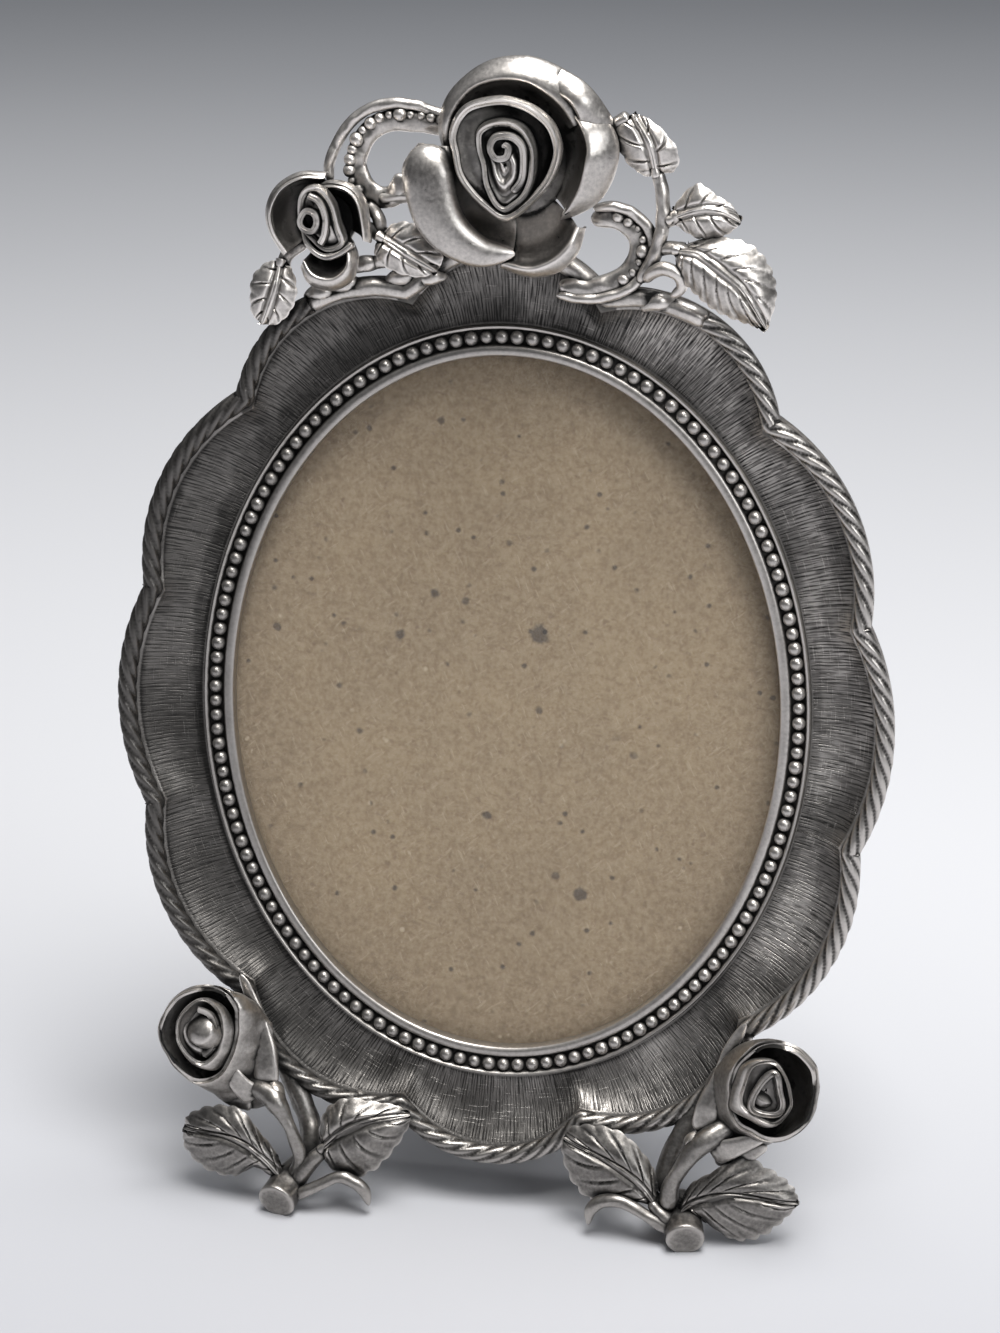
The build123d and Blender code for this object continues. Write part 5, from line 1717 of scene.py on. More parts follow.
def all_leaves() -> list[Leaf]:
    """The five leaves of the crest and the four at the feet.

    Returns:
        The leaves.
    """
    return [
        Leaf(
            "upper_right_leaf",
            ((14.4, 54.9, 4.3), (13.8, 57.6, 5.2), (12.1, 60.4, 4.8)),
            ((12.6, 55.0, 4.2), (11.0, 56.8, 4.6), (10.3, 59.2, 4.8)),
            ((16.2, 55.2, 4.4), (16.5, 57.0, 4.8), (15.1, 58.9, 5.0), (13.4, 60.1, 4.9)), crest_pewter,
            veins=4,
        ),
        Leaf(
            "right_upper_leaf",
            ((15.9, 50.6, 4.4), (18.3, 51.6, 5.3), (20.6, 51.7, 5.4), (22.7, 50.7, 4.8)),
            ((16.6, 52.4, 4.6), (18.4, 54.1, 4.9), (20.3, 53.1, 5.0), (21.8, 52.2, 4.9)),
            ((17.0, 49.8, 4.6), (18.8, 49.0, 5.0), (20.6, 49.1, 5.0), (22.0, 49.9, 4.8)), crest_pewter,
            veins=5,
        ),
        Leaf(
            "right_large_leaf",
            ((16.6, 47.8, 4.8), (18.8, 47.6, 5.8), (21.3, 46.1, 6.4), (23.2, 44.5, 6.4), (25.6, 40.7, 5.6)),
            ((18.6, 48.8, 4.6), (21.0, 49.2, 5.0), (24.0, 48.4, 5.2), (25.8, 46.2, 5.2), (26.3, 43.6, 5.2)),
            ((16.8, 45.6, 4.8), (18.6, 43.8, 5.2), (20.8, 42.2, 5.4), (23.6, 41.2, 5.4)), crest_pewter,
            bulge=0.8, veins=8,
        ),
        Leaf(
            "left_small_leaf",
            ((-22.0, 45.1, 4.4), (-22.4, 42.7, 5.1), (-23.1, 40.6, 5.0), (-23.8, 38.9, 4.6)),
            ((-20.9, 44.4, 4.4), (-20.3, 42.4, 4.7), (-20.9, 40.4, 4.7), (-22.3, 39.0, 4.6)),
            ((-23.3, 45.0, 4.4), (-24.7, 43.6, 4.6), (-25.0, 41.6, 4.6), (-24.8, 39.8, 4.5)),
            crest_pewter, veins=5,
        ),
        Leaf(
            "crest_left_leaf",
            ((-12.2, 47.9, 4.4), (-9.6, 46.6, 5.1), (-6.4, 44.8, 4.8)),
            ((-10.8, 49.2, 4.4), (-8.8, 49.3, 4.6), (-7.0, 47.8, 4.8), (-5.9, 46.2, 4.8)),
            ((-12.7, 46.6, 4.4), (-12.1, 45.4, 4.6), (-10.2, 44.5, 4.8), (-8.0, 44.2, 4.8)),
            crest_pewter, veins=5,
        ),
        Leaf(
            "left_outer_leaf",
            (
                (-20.9, -50.2, 7.3), (-22.7, -48.1, 7.5), (-24.7, -46.6, 7.5), (-27.2, -45.7, 7.3),
                (-32.0, -45.7, 6.2),
            ),
            (
                (-22.5, -50.0, 6.8), (-24.2, -49.3, 6.6), (-26.6, -50.6, 6.2), (-29.6, -50.2, 6.0),
                (-31.9, -48.0, 5.9),
            ),
            (
                (-21.8, -47.4, 6.9), (-23.6, -45.2, 6.8), (-25.8, -42.9, 6.6), (-28.8, -42.9, 6.4),
                (-31.4, -44.2, 6.2),
            ),
            spray_pewter, bulge=0.7, veins=7,
        ),
        Leaf(
            "left_inner_leaf",
            ((-17.0, -46.4, 6.8), (-14.6, -44.1, 7.0), (-12.0, -42.9, 6.6), (-7.9, -42.3, 5.4)),
            (
                (-17.4, -44.4, 6.2), (-16.6, -42.2, 6.0), (-14.6, -41.0, 5.8), (-11.8, -41.2, 5.6),
                (-9.4, -41.5, 5.4),
            ),
            (
                (-16.4, -48.4, 6.4), (-14.2, -49.5, 6.4), (-11.6, -48.5, 6.2), (-9.6, -46.2, 5.8),
                (-8.2, -43.8, 5.4),
            ),
            spray_pewter, bulge=0.95, veins=6,
        ),
        Leaf(
            "right_outer_leaf",
            (
                (20.2, -50.2, 7.3), (21.4, -48.6, 7.5), (23.2, -47.7, 7.5), (25.9, -47.1, 7.3),
                (32.5, -48.1, 6.0),
            ),
            (
                (21.2, -47.0, 6.9), (23.2, -45.4, 6.8), (26.6, -43.5, 6.4), (29.8, -44.8, 6.2),
                (31.8, -46.4, 6.0),
            ),
            (
                (22.0, -49.6, 6.8), (23.8, -51.4, 6.4), (26.2, -52.6, 6.2), (28.8, -52.0, 6.0),
                (31.0, -50.0, 5.9),
            ),
            spray_pewter, bulge=0.7, veins=7,
        ),
        Leaf(
            "right_inner_leaf",
            ((18.3, -49.6, 7.0), (16.4, -47.1, 7.2), (13.5, -45.2, 6.9), (8.0, -43.3, 5.4)),
            (
                (16.4, -49.4, 6.4), (13.8, -49.8, 6.2), (11.0, -49.6, 6.0), (9.1, -47.8, 5.8),
                (8.0, -45.2, 5.4),
            ),
            (
                (17.9, -46.4, 6.4), (16.6, -44.2, 6.2), (14.2, -42.1, 6.0), (11.4, -41.6, 5.8),
                (9.0, -42.1, 5.4),
            ),
            spray_pewter, bulge=0.7, veins=6,
        ),
    ]


@dataclass
class Crest:
    """The openwork of the crest: seats, scrolls, stems and the plain roll on the rim."""

    rail_radius: float = 0.55
    stem_radius: float = 0.7
    lumps: Sequence[tuple[tuple[float, float], float]] = (
        ((-14.0, 44.9), 0.8), ((-12.2, 45.3), 0.7), ((-10.4, 43.8), 0.8), ((-16.0, 42.9), 0.8),
        ((-18.4, 42.0), 0.8), ((-7.6, 43.9), 0.8), ((14.8, 42.4), 0.8),
    )

    def rim_roll(self) -> Form:
        """The plain roll along the top of the rim, where no rope shows.

        Returns:
            The form of the roll.
        """
        scallops = Scallops()
        middle = scallops.band(0.5)
        start = int(np.argmin(middle[:, 1]))
        around = np.roll(middle, -start, axis=0)
        line = around[around[:, 1] > 40.4][::3]
        path = np.column_stack([line, np.full(len(line), 2.5)])
        path = path + 0.22 * ripple(path, 4.5)[:, None]
        return tube(path, (0.95 + 0.15 * ripple(path, 3.1, 2.0)) * rounded(len(path), 0.03), 18, 0.9)

    def scroll(self, rail: Line, band: Line, flat: float = 0.5) -> list[Form]:
        """A C scroll: a round rail outside and a flat band inside it.

        Args:
            rail: the places of the rail.
            band: the places of the band.
            flat: the band's height as a share of its width.

        Returns:
            The rail and the band.
        """
        return [
            rod(rail, [self.rail_radius] * len(rail), steps=10, sides=16),
            rod(band, [1.05] * len(band), flat=flat, steps=10, sides=16),
        ]

    def form(self) -> Form:
        """All the bars of the crest.

        Returns:
            The form.
        """
        level = 3.0
        forms = [self.rim_roll()]
        forms += self.scroll(
            (
                (-4.0, 58.8, level), (-6.8, 59.7, level), (-9.1, 60.4, 3.3), (-11.4, 60.5, 3.4),
                (-13.8, 59.8, 3.3), (-15.6, 58.3, 3.2), (-16.8, 56.4, 3.0), (-17.5, 54.5, 3.0),
                (-17.4, 52.6, 3.0),
            ),
            (
                (-4.6, 58.0, level), (-7.4, 58.7, level), (-9.6, 58.9, level), (-11.8, 58.8, level),
                (-13.5, 57.8, level), (-14.5, 56.2, level), (-14.8, 54.4, level), (-14.1, 52.6, level),
                (-12.7, 51.6, level), (-11.2, 51.7, 3.2), (-10.4, 52.7, 3.5), (-10.4, 53.9, 3.6),
            ),
        )
        forms += self.scroll(
            (
                (8.4, 51.3, 3.4), (10.6, 51.5, 3.5), (12.6, 50.7, 3.4), (14.0, 49.0, 3.3),
                (14.1, 47.0, 3.2), (13.2, 45.0, 3.2), (11.4, 43.4, 3.2), (8.4, 42.6, 3.2),
                (5.0, 42.8, 3.2),
            ),
            (
                (8.2, 50.2, level), (10.4, 50.4, level), (12.1, 49.6, level), (12.9, 48.2, level),
                (12.7, 46.4, level), (11.6, 44.9, level), (9.6, 43.9, level), (7.4, 43.5, level),
                (5.2, 43.8, level),
            ),
        )
        stems = (
            (
                (14.4, 55.2, 4.0), (15.0, 53.2, 4.1), (15.2, 50.8, 4.1), (14.9, 48.5, 4.0),
                (14.2, 46.4, 3.8), (13.0, 44.4, 3.4),
            ),
            ((14.9, 50.4, 3.4), (15.8, 50.5, 4.0), (17.0, 51.2, 4.4)),
            ((14.6, 47.6, 3.4), (16.2, 47.9, 4.2), (18.4, 47.5, 4.9)),
            ((9.0, 57.6, 3.4), (11.2, 57.4, 3.6), (12.4, 55.9, 3.8), (14.2, 54.9, 4.0)),
            ((9.2, 58.4, 3.6), (10.6, 59.4, 4.4), (11.8, 60.2, 4.6)),
            ((-17.8, 49.2, 3.0), (-14.0, 48.6, 3.2), (-11.8, 47.6, 3.6)),
            ((-13.8, 50.9, 3.0), (-12.6, 49.6, 3.2), (-12.2, 47.8, 3.4), (-11.2, 45.6, 3.4)),
            ((-12.8, 51.4, 3.0), (-9.6, 51.8, 3.2), (-7.0, 52.0, 3.4)),
            ((-19.8, 47.0, 3.0), (-21.6, 45.6, 3.4), (-22.0, 43.8, 3.6)),
            ((-8.6, 46.6, 3.0), (-6.6, 47.6, 3.2), (-4.2, 48.4, 3.4)),
        )
        for places in stems:
            forms.append(rod(places, [self.stem_radius] * len(places), steps=9))
        for (x, y), radius in self.lumps:
            bar = (
                (x - 1.7, y - 0.7, 2.4), (x - 0.4, y, 3.0), (x + 0.6, y + 0.2, 3.0),
                (x + 1.7, y + 0.2, 2.4),
            )
            forms.append(rod(bar, (radius * 0.5, radius, radius, radius * 0.5), flat=0.7))
        made = Form.joined(forms)
        made.points = made.points + 0.13 * ripple(made.points, 1.9)[:, None] * [[0.6, 0.6, 1.0]]
        return made

    def build(self) -> list[Piece]:
        """Makes the openwork, the tendril and the beads on the scrolls.

        Returns:
            The pieces.
        """
        base = dressed("crest_openwork", meshed("crest_openwork", self.form()), crest_pewter)
        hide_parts("crest_base")
        hook = (
            (13.6, 44.6, 3.6), (14.4, 45.5, 4.4), (15.6, 46.0, 4.9), (16.9, 45.4, 4.8),
            (17.2, 44.2, 4.2), (16.2, 43.2, 3.8),
        )
        hook_form = rod(hook, (0.5, 0.62, 0.7, 0.62, 0.55, 0.4), steps=8)
        tendril = dressed("tendril_cast", meshed("tendril", hook_form), crest_pewter)
        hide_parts("tendril")
        pieces = [base, tendril]
        rows = (
            (
                "left_scroll_lumps",
                (
                    (-6.4, 59.1, 3.2), (-9.2, 59.5, 3.25), (-12.0, 59.3, 3.25), (-14.1, 57.9, 3.25),
                    (-15.2, 55.8, 3.25), (-15.4, 53.6, 3.2), (-14.5, 52.2, 3.1),
                ),
                15,
            ),
            (
                "right_scroll_lumps",
                (
                    (10.8, 50.6, 3.2), (12.2, 49.9, 3.25), (13.2, 48.7, 3.25), (13.3, 47.2, 3.25),
                    (12.6, 45.6, 3.2), (11.5, 44.6, 3.15),
                ),
                8,
            ),
        )
        pattern = bead_pattern(crest_pewter)
        for name, places, count in rows:
            sizes = {"Count": count, "Radius": 0.62 * bench.scale, "Unevenness": 0.25}
            mesh = pattern.run(name, smoothed(places, 60), sizes)
            pieces.append(dressed(name, mesh, crest_pewter))
        return pieces


@dataclass
class Bud:
    """A half open rosebud: a wrapped cup with a thin lip, its core and the sepals behind it."""

    name: str
    lip: Line
    heel: Line
    knob: tuple[Place, float]
    core: Sequence[tuple[Place, float]]
    walls: Sequence[RolledWall]
    sepals: Sequence[Line]
    fillings: Sequence[Filling] = ()

    def cup(self) -> Form:
        """The cup, from its lip down to its heel.

        Returns:
            The form.
        """
        lip = smoothed(self.lip, 80, True)
        middle = lip.mean(0)
        path = smoothed([middle, *self.heel], 30)
        scale = smoothed([[1.0], [1.03], [1.0], [0.86], [0.58], [0.30]], 30)[:, 0]
        rows = [centre + (lip - middle) * size for centre, size in zip(path, scale)]
        out = unit(lip - middle)
        back = unit(np.array(self.heel[-1]) - middle)
        edge = [lip + out * 0.26 + back * 0.4, lip + out * 0.22 - back * 0.02]
        grid = np.stack([*edge, *rows], axis=1)
        grid = grid + 0.13 * ripple(grid, 5.0, 1.0)[..., None] + 0.05 * ripple(grid, 1.9, 2.0)[..., None]
        return shell(grid, 0.5, closed=True)

    def form(self) -> Form:
        """The bud's cup, core, rolled walls, knob and sepals.

        Returns:
            The form.
        """
        places, radii = zip(*self.core)
        forms = [
            self.cup(), rod(places, radii, sides=24),
            *(piece.form() for piece in (*self.walls, *self.fillings)),
        ]
        (x, y, z), size = self.knob
        forms.append(
            rod(
                (
                    (x - 0.5 * size, y + 0.4 * size, z - 0.9 * size), (x, y, z),
                    (x, y - 0.3 * size, z + 0.5 * size),
                ),
                (size, size, size * 0.7), sides=20,
            )
        )
        for line in self.sepals:
            forms.append(
                rod(line, np.linspace(1.5, 0.4, len(line)).tolist(), flat=0.35, steps=18, sides=18)
            )
        made = Form.joined(forms)
        made.points = made.points + 0.06 * ripple(made.points, 2.4)[:, None]
        return made

    def build(self) -> Piece:
        """Makes the bud.

        Returns:
            The piece.
        """
        piece = dressed(f"{self.name}_cast", meshed(self.name, self.form()), bud_pewter)
        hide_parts(self.name)
        return piece


@dataclass
class Spray:
    """The stems of one side, which end in the foot."""

    name: str
    foot: Place
    stems: Sequence[tuple[Line, Sequence[float]]]
    foot_radius: float = 2.0

    def build(self) -> Piece:
        """Makes the stems and the cut foot stub.

        Returns:
            The piece.
        """
        x, y, z = self.foot
        stub = smoothed(
            ((x * 0.94, y + 2.2, z - 5.6), (x * 0.97, y + 1.3, z - 3.2), (x, y + 0.2, z - 0.3)), 24,
        )
        ahead = unit(stub[-1] - stub[-2])
        path = np.concatenate([stub, [stub[-1] + ahead * step for step in (0.10, 0.20, 0.27, 0.30, 0.32)]])
        radii = np.concatenate([smoothed([[1.3], [1.8], [2.0]], 24)[:, 0], (1.99, 1.93, 1.80, 1.50, 0.75)])
        forms = [tube(path, radii, 28)]
        forms += [rod(places, radii, steps=9, sides=16) for places, radii in self.stems]
        made = Form.joined(forms)
        made.points = made.points + 0.09 * ripple(made.points, 2.6)[:, None]
        piece = dressed(f"{self.name}_cast", meshed(self.name, made), spray_pewter)
        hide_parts(self.name)
        return piece


def both_sprays() -> list[Spray]:
    """The two sprays that carry the feet.

    Returns:
        The left spray and the right one.
    """
    left = (
        (
            (
                (-26.0, -40.2, 5.2), (-22.6, -41.0, 6.6), (-21.7, -41.8, 7.0), (-20.7, -43.4, 7.2),
                (-19.6, -46.2, 7.0), (-19.4, -48.6, 6.6), (-20.6, -50.8, 6.8),
            ),
            (0.9, 1.2, 1.15, 0.72, 0.72, 0.85, 1.0),
        ),
        (
            ((-22.6, -38.2, 2.0), (-20.8, -41.6, 2.6), (-18.9, -45.4, 3.8), (-18.8, -48.4, 5.2)),
            (1.0, 1.15, 1.1, 1.2),
        ),
        (((-20.2, -50.8, 6.6), (-18.5, -48.4, 6.7), (-16.2, -46.0, 6.3)), (1.1, 0.95, 0.6)),
        (
            (
                (-20.6, -51.6, 7.4), (-19.0, -51.2, 7.6), (-17.0, -50.1, 7.6), (-15.2, -49.2, 7.4),
                (-13.6, -49.5, 7.3), (-12.4, -50.6, 7.2), (-11.9, -52.2, 7.0),
            ),
            (0.7, 0.66, 0.6, 0.62, 0.7, 0.62, 0.3),
        ),
        (((-16.0, -46.8, 5.2), (-14.6, -43.4, 3.4), (-13.8, -42.0, 1.4)), (0.6, 0.8, 0.9)),
    )
    right = (
        (
            (
                (26.0, -39.8, 5.2), (23.4, -41.4, 6.4), (21.8, -42.8, 6.9), (20.5, -44.8, 7.1),
                (19.4, -47.2, 6.9), (19.3, -49.6, 6.9),
            ),
            (0.95, 1.2, 1.1, 0.85, 0.9, 1.1),
        ),
        (
            ((22.0, -38.6, 2.0), (20.8, -41.2, 2.8), (18.9, -45.6, 4.2), (18.6, -48.6, 5.4)),
            (1.0, 1.15, 1.1, 1.2),
        ),
        (((19.8, -50.8, 6.9), (18.9, -50.4, 7.2), (17.4, -48.8, 7.1)), (1.1, 0.9, 0.5)),
        (
            (
                (20.2, -51.6, 7.4), (18.6, -51.0, 7.7), (16.7, -49.9, 7.7), (14.6, -49.0, 7.5),
                (12.5, -49.2, 7.3), (11.3, -50.4, 7.2), (11.1, -52.1, 7.0),
            ),
            (0.7, 0.62, 0.62, 0.68, 0.72, 0.62, 0.32),
        ),
        (((14.2, -45.6, 5.4), (12.6, -43.6, 3.4), (12.0, -42.6, 1.6)), (0.6, 0.8, 0.9)),
    )
    return [
        Spray("left_spray", (-21.3, -52.0, 9.0), left), Spray("right_spray", (21.3, -52.0, 9.0), right),
    ]


def both_buds() -> list[Bud]:
    """The two buds over the feet.

    Returns:
        The left bud and the right one.
    """
    left_heart = (
        (-29.6, -30.4, 8.9), (-28.0, -31.0, 8.5), (-27.3, -33.2, 8.2), (-27.7, -35.8, 8.1),
        (-29.0, -37.3, 8.4), (-30.7, -36.6, 8.8), (-31.7, -34.6, 9.1), (-31.4, -32.2, 9.2),
    )
    left = Bud(
        "left_bud",
        lip=(
            (-33.5, -34.2, 9.2), (-32.9, -31.9, 9.1), (-31.5, -30.0, 8.9), (-29.4, -29.1, 8.5),
            (-27.3, -29.5, 8.0), (-26.3, -31.0, 7.7), (-26.0, -33.0, 7.5), (-26.3, -35.6, 7.6),
            (-27.6, -38.4, 8.0), (-30.0, -39.0, 8.6), (-32.2, -37.2, 9.0),
        ),
        heel=((-27.4, -35.6, 6.0), (-25.8, -37.8, 5.0), (-24.4, -39.6, 5.2), (-23.2, -40.6, 5.8)),
        knob=((-22.0, -40.9, 6.6), 1.05),
        core=(((-28.3, -34.8, 6.7), 1.5), ((-28.9, -34.2, 7.6), 1.8), ((-29.6, -33.3, 9.1), 1.5)),
        walls=(
            RolledWall(left_heart, (-29.4, -33.9, 4.0), 2.4, 0.8, 0.30, True, 0.2, (0.8, -0.8)),
            RolledWall(
                (
                    (-29.6, -31.2, 8.9), (-28.4, -31.8, 8.8), (-27.9, -33.4, 8.6), (-28.3, -35.4, 8.5),
                    (-29.2, -36.4, 8.6),
                ),
                (-29.2, -34.0, 4.0), 1.8, 0.95, 0.34, False, 0.15, (0.5, -0.5),
            ),
        ),
        sepals=(
            ((-24.2, -41.6, 6.2), (-25.6, -40.2, 6.8), (-26.8, -38.2, 7.2), (-27.2, -36.4, 7.4)),
            (
                (-23.2, -40.4, 6.0), (-23.2, -37.6, 5.8), (-23.9, -34.6, 5.2), (-25.0, -31.4, 4.8),
                (-26.2, -28.8, 4.6),
            ),
            ((-24.6, -42.2, 5.4), (-27.2, -41.8, 5.8), (-29.4, -40.4, 6.4)),
        ),
        fillings=(Filling(left_heart, drop=0.9, rise=0.5, folds=0.2, turns=1.2, wall=0.35),),
    )
    heart = (
        (27.6, -32.4, 9.0), (29.6, -31.9, 9.3), (30.9, -33.8, 9.3), (31.3, -36.3, 9.1),
        (29.9, -38.2, 9.0), (28.0, -37.6, 8.9), (26.5, -36.7, 8.7), (26.8, -34.4, 8.8),
    )
    opening = (
        (28.4, -34.3, 9.2), (29.7, -32.9, 9.5), (30.3, -34.6, 9.5), (30.5, -36.6, 9.3),
        (29.5, -37.3, 9.1), (27.6, -36.8, 9.0),
    )
    right = Bud(
        "right_bud",
        lip=(
            (25.5, -37.0, 7.6), (25.6, -34.5, 7.8), (26.7, -32.2, 8.2), (28.4, -30.4, 8.6),
            (30.7, -30.0, 9.0), (32.8, -31.1, 9.2), (33.9, -33.5, 9.3), (33.4, -37.0, 9.2),
            (31.8, -39.1, 9.0), (29.6, -40.0, 8.6), (27.6, -39.4, 8.2), (26.1, -38.6, 7.8),
        ),
        heel=((27.4, -36.6, 6.0), (25.8, -38.6, 5.0), (24.2, -40.4, 5.2), (23.0, -41.6, 5.8)),
        knob=((21.8, -42.4, 6.7), 1.05),
        core=(((28.3, -36.0, 6.8), 1.5), ((28.7, -35.6, 7.3), 1.8), ((29.0, -35.2, 7.9), 1.2)),
        walls=(
            RolledWall(heart, (29.0, -35.2, 4.0), 2.6, 0.8, 0.34, True, 0.3, (-0.85, -0.5)),
            RolledWall(opening, (29.2, -35.4, 4.0), 1.2, 0.8, 0.34, True, 0.16, (-0.4, -0.3)),
        ),
        sepals=(
            ((23.4, -43.4, 6.0), (25.2, -42.4, 7.0), (27.4, -41.2, 7.4), (28.8, -40.6, 7.6)),
            (
                (22.6, -41.4, 5.8), (22.8, -38.8, 5.8), (23.9, -35.8, 5.4), (24.8, -32.4, 5.0),
                (26.2, -29.6, 4.8),
            ),
            ((23.6, -43.6, 5.4), (26.6, -43.4, 6.0), (29.0, -41.9, 6.6)),
        ),
        fillings=(Filling(heart, drop=0.35, rise=-0.5, folds=0.05, turns=0.8, wall=0.35),),
    )
    return [left, right]


@dataclass
class Easel:
    """The rivet heads of the folding easel; its other parts keep their CAD shapes."""

    head_radius: float = 1.1
    head_height: float = 0.42
    hinge_up: float = 12.0
    plate_back: float = -5.6
    leg_angle: float = 20.0
    plate_across: float = 5.76
    plate_ups: tuple[float, float] = (15.52, 20.36)
    leg_alongs: tuple[float, float] = (4.94, 10.66)
    leg_faces: tuple[float, float] = (-0.2, 2.0)

    def build(self) -> list[Piece]:
        """Makes the domed rivet heads on the hinge plate and on the leg.

        Returns:
            The heads on the plate, which stay on the frame, and those on the leg.
        """
        pattern = rivet_pattern(steel)
        tilt = -bench.lean - pi / 2
        sizes = {"Radius": self.head_radius * bench.scale, "Height": self.head_height * bench.scale}
        places = np.array(
            [(side * self.plate_across, up, self.plate_back) for side in (-1, 1) for up in self.plate_ups]
        )
        plate = pattern.run("hinge_rivet_heads", places, {**sizes, "Tilt": tilt})
        plate_piece = dressed("hinge_rivet_heads", plate, steel)
        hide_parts("hinge_rivets")
        turn = radians(self.leg_angle)
        down, behind = np.array([0, -cos(turn), -sin(turn)]), np.array([0, sin(turn), -cos(turn)])
        pin = np.array([0, self.hinge_up, self.plate_back - 1.2])
        leg_places = np.array(
            [
                pin + down * along + behind * level
                for along in self.leg_alongs for level in self.leg_faces
            ]
        )
        leg = pattern.run("leg_rivet_heads", leg_places, {**sizes, "Tilt": tilt + turn})
        leg_piece = dressed("leg_rivet_heads", leg, steel, Body.LEG)
        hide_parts("leg_rivets")
        return [plate_piece, leg_piece]


@dataclass
class Weathering:
    """Gives each point of the castings how deep it lies in a hollow and how far it stands out."""

    reach: float = 3.4
    rays: int = 10
    start: float = 0.03
    crest_scale: float = 0.45

    def directions(self, normals: np.ndarray) -> np.ndarray:
        """Rays round each normal, denser towards it.

        Args:
            normals: the points' normals.

        Returns:
            A fan of directions for each normal.
        """
        side = unit(np.cross(normals, [[0.31, 0.83, 0.47]]))
        other = np.cross(normals, side)
        step = np.arange(self.rays)
        out = np.sqrt((step + 0.5) / self.rays)
        turn = step * pi * (3 - 5**0.5)
        fan = (
            (out * np.cos(turn))[None, :, None] * side[:, None]
            + (out * np.sin(turn))[None, :, None] * other[:, None]
            + np.sqrt(1 - out**2)[None, :, None] * normals[:, None]
        )
        return fan

    def apply(self, pieces: Sequence[Piece]) -> None:
        """Writes the recess and crest attributes of the pieces.

        Args:
            pieces: the castings, which also shade one another.
        """
        points, faces, counts = [], [], []
        for piece in pieces:
            mesh = piece.data
            places = np.zeros(len(mesh.vertices) * 3)
            mesh.vertices.foreach_get("co", places)
            offset = sum(counts)
            faces += [[offset + index for index in polygon.vertices] for polygon in mesh.polygons]
            points.append(places.reshape(-1, 3))
            counts.append(len(mesh.vertices))
        tree = BVHTree.FromPolygons(np.concatenate(points).tolist(), faces)
        reach = self.reach * bench.scale
        for piece, places in zip(pieces, points):
            mesh = piece.data
            normals = np.zeros(len(places) * 3)
            mesh.vertices.foreach_get("normal", normals)
            normals = unit(normals.reshape(-1, 3))
            origins = places + normals * self.start * bench.scale
            fans = self.directions(normals)
            recess = np.zeros(len(places))
            for index, (origin, fan) in enumerate(zip(origins.tolist(), fans.tolist())):
                met = 0.0
                for ray in fan:
                    distance = tree.ray_cast(origin, ray, reach)[3]
                    if distance is not None:
                        met += 1 - 0.5 * distance / reach
                recess[index] = met / self.rays
            edges = np.zeros(len(mesh.edges) * 2, int)
            mesh.edges.foreach_get("vertices", edges)
            a, b = edges.reshape(-1, 2).T
            run = places[b] - places[a]
            length = np.maximum(np.linalg.norm(run, axis=1), 1e-9)
            degree = np.maximum(np.bincount(np.r_[a, b], minlength=len(places)), 1)
            bend_a = -(normals[a] * run).sum(1) / length**2 * bench.scale
            bend_b = (normals[b] * run).sum(1) / length**2 * bench.scale
            bend = np.bincount(a, bend_a, len(places)) + np.bincount(b, bend_b, len(places))
            crest = bend / degree * self.crest_scale
            for _ in range(2):
                recess = self.evened(recess, a, b, degree)
                crest = self.evened(crest, a, b, degree)
            self.write(mesh, "recess", recess)
            self.write(mesh, "crest", np.clip(crest, -1, 1))

    @staticmethod
    def evened(values: np.ndarray, a: np.ndarray, b: np.ndarray, degree: np.ndarray) -> np.ndarray:
        """Values half way to the mean of their neighbours."""
        near = np.bincount(a, values[b], len(values)) + np.bincount(b, values[a], len(values))
        return 0.5 * values + 0.5 * near / degree

    @staticmethod
    def write(mesh: bpy.types.Mesh, name: str, values: np.ndarray) -> None:
        """Stores one number for each point of a mesh."""
        attribute = mesh.attributes.new(name, "FLOAT", "POINT")
        attribute.data.foreach_set("value", values.astype(np.float32))


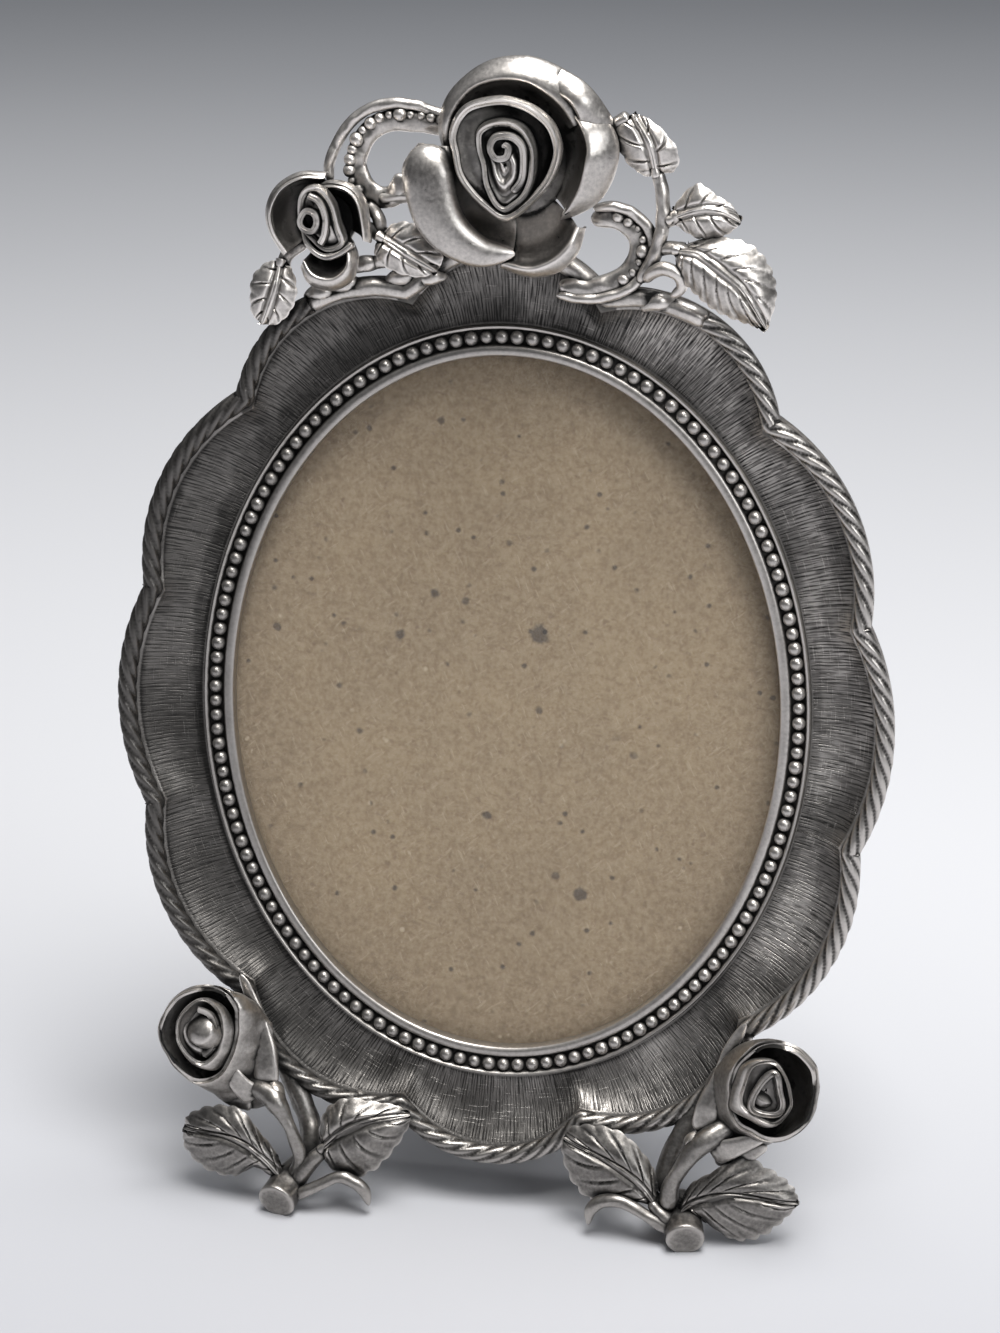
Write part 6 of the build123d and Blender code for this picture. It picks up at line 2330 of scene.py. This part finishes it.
@dataclass
class Studio:
    """The camera at the photograph's angle, the soft lights and the pale table."""

    turns: Place = (14.89, -9.83, -1.08)
    shift: Place = (0.3, -4.5, -314.0)
    focal_pixels: float = 3108.0
    long_side_pixels: float = 1333.0
    sensor: float = 36.0
    aim: Place = (0.0, 0.0, 0.06)
    lamps: Sequence[tuple[str, Place, float, float, Place]] = (
        ("key", (0.14, -0.24, 0.80), 0.35, 5.6, (1.0, 0.99, 0.97)),
        ("fill", (0.60, -0.50, 0.40), 0.35, 1.5, (0.96, 0.98, 1.0)),
        ("top", (0.08, 0.02, 0.8), 0.34, 3.4, (1.0, 1.0, 1.0)),
    )
    sky_low: Colour = (0.06, 0.063, 0.07, 1.0)
    sky_high: Colour = (0.95, 0.97, 1.0, 1.0)
    sky_strength: float = 0.30

    def camera(self) -> None:
        """Makes the camera from its three turns and its shift from the bench's zero."""
        tilt, yaw, roll = (
            Matrix.Rotation(radians(angle), 3, axis) for angle, axis in zip(self.turns, "XYZ")
        )
        view = np.array(roll @ tilt @ yaw)
        place = -view.T @ np.array(self.shift)
        axes = bench.turned(view)
        data = bpy.data.cameras.new("camera")
        data.sensor_width = self.sensor
        data.lens = self.focal_pixels / self.long_side_pixels * self.sensor
        data.clip_start, data.clip_end = 0.01, 20.0
        camera = bpy.data.objects.new("camera", data)
        bpy.context.scene.collection.objects.link(camera)
        pose = np.eye(4)
        pose[:3, :3] = axes.T
        pose[:3, 3] = bench.standing(place)
        camera.matrix_world = Matrix(pose.tolist())
        bpy.context.scene.camera = camera

    def lamp(self, name: str, place: Place, size: float, power: float, colour: Place) -> None:
        """Adds a soft square lamp that shines at the frame.

        Args:
            name: the lamp's name.
            place: where it hangs, in metres.
            size: its side, in metres.
            power: its power, in watts.
            colour: its colour.
        """
        data = bpy.data.lights.new(name, "AREA")
        data.size, data.energy, data.color = size, power, colour
        lamp = bpy.data.objects.new(name, data)
        lamp.location = place
        lamp.rotation_euler = (Vector(self.aim) - Vector(place)).to_track_quat("-Z", "Y").to_euler()
        bpy.context.scene.collection.objects.link(lamp)

    def table(self) -> None:
        """The pale floor, which runs far back."""
        work = bmesh.new()
        bmesh.ops.create_grid(work, x_segments=24, y_segments=24, size=4.0)
        mesh = bpy.data.meshes.new("table")
        work.to_mesh(mesh)
        work.free()
        mesh.materials.append(pale_floor.material())
        table = bpy.data.objects.new("table", mesh)
        bpy.context.scene.collection.objects.link(table)

    def sky(self) -> None:
        """Soft light from all round, brighter from above."""
        world = bpy.data.worlds.new("studio")
        world.use_nodes = True
        world.node_tree.nodes.clear()
        nodes = Nodes(world.node_tree)
        direction = nodes.add("ShaderNodeTexCoord").outputs["Generated"]
        height = nodes.value("ShaderNodeSeparateXYZ", {0: direction}, 2)
        colour = nodes.mix(height.ramp(0.05, 0.9), self.sky_low, self.sky_high)
        light = nodes.add("ShaderNodeBackground", {"Color": colour, "Strength": self.sky_strength})
        nodes.add("ShaderNodeOutputWorld", {0: light})
        bpy.context.scene.world = world

    def build(self) -> None:
        """Sets up the studio."""
        self.camera()
        self.table()
        self.sky()
        for lamp in self.lamps:
            self.lamp(*lamp)
        bpy.context.scene.view_settings.view_transform = "Standard"


def dress_cad_parts() -> None:
    """Gives each part that keeps its CAD shape its finish."""
    finishes = {"backing_board": chipboard, "back_cover": velvet, "easel_leg": velvet}
    fittings = ("hinge_plate", "hinge_pin", "leg_strap", "turn_button_posts")
    finishes.update({name: steel for name in fittings})
    finishes.update({f"turn_button_{number}": steel for number in range(1, 5)})
    for name, finish in finishes.items():
        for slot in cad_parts[name].material_slots:
            slot.material = finish.material()
        log.info("%s: %s", name, finish.name)


def main() -> None:
    """Builds the frame's pieces, dresses the CAD parts and sets up the studio."""
    logging.basicConfig(level=logging.INFO, format="%(name)s %(message)s")
    castings = FaceCasting().build() + Crest().build()
    for rose in (large_rose(), small_rose()):
        castings += rose.build()
    castings += [leaf.build() for leaf in all_leaves()]
    castings += [bud.build() for bud in both_buds()]
    castings += [spray.build() for spray in both_sprays()]
    GlassSheet().build()
    Easel().build()
    Weathering().apply(castings)
    dress_cad_parts()
    Studio().build()


if __name__ == "__main__":
    main()
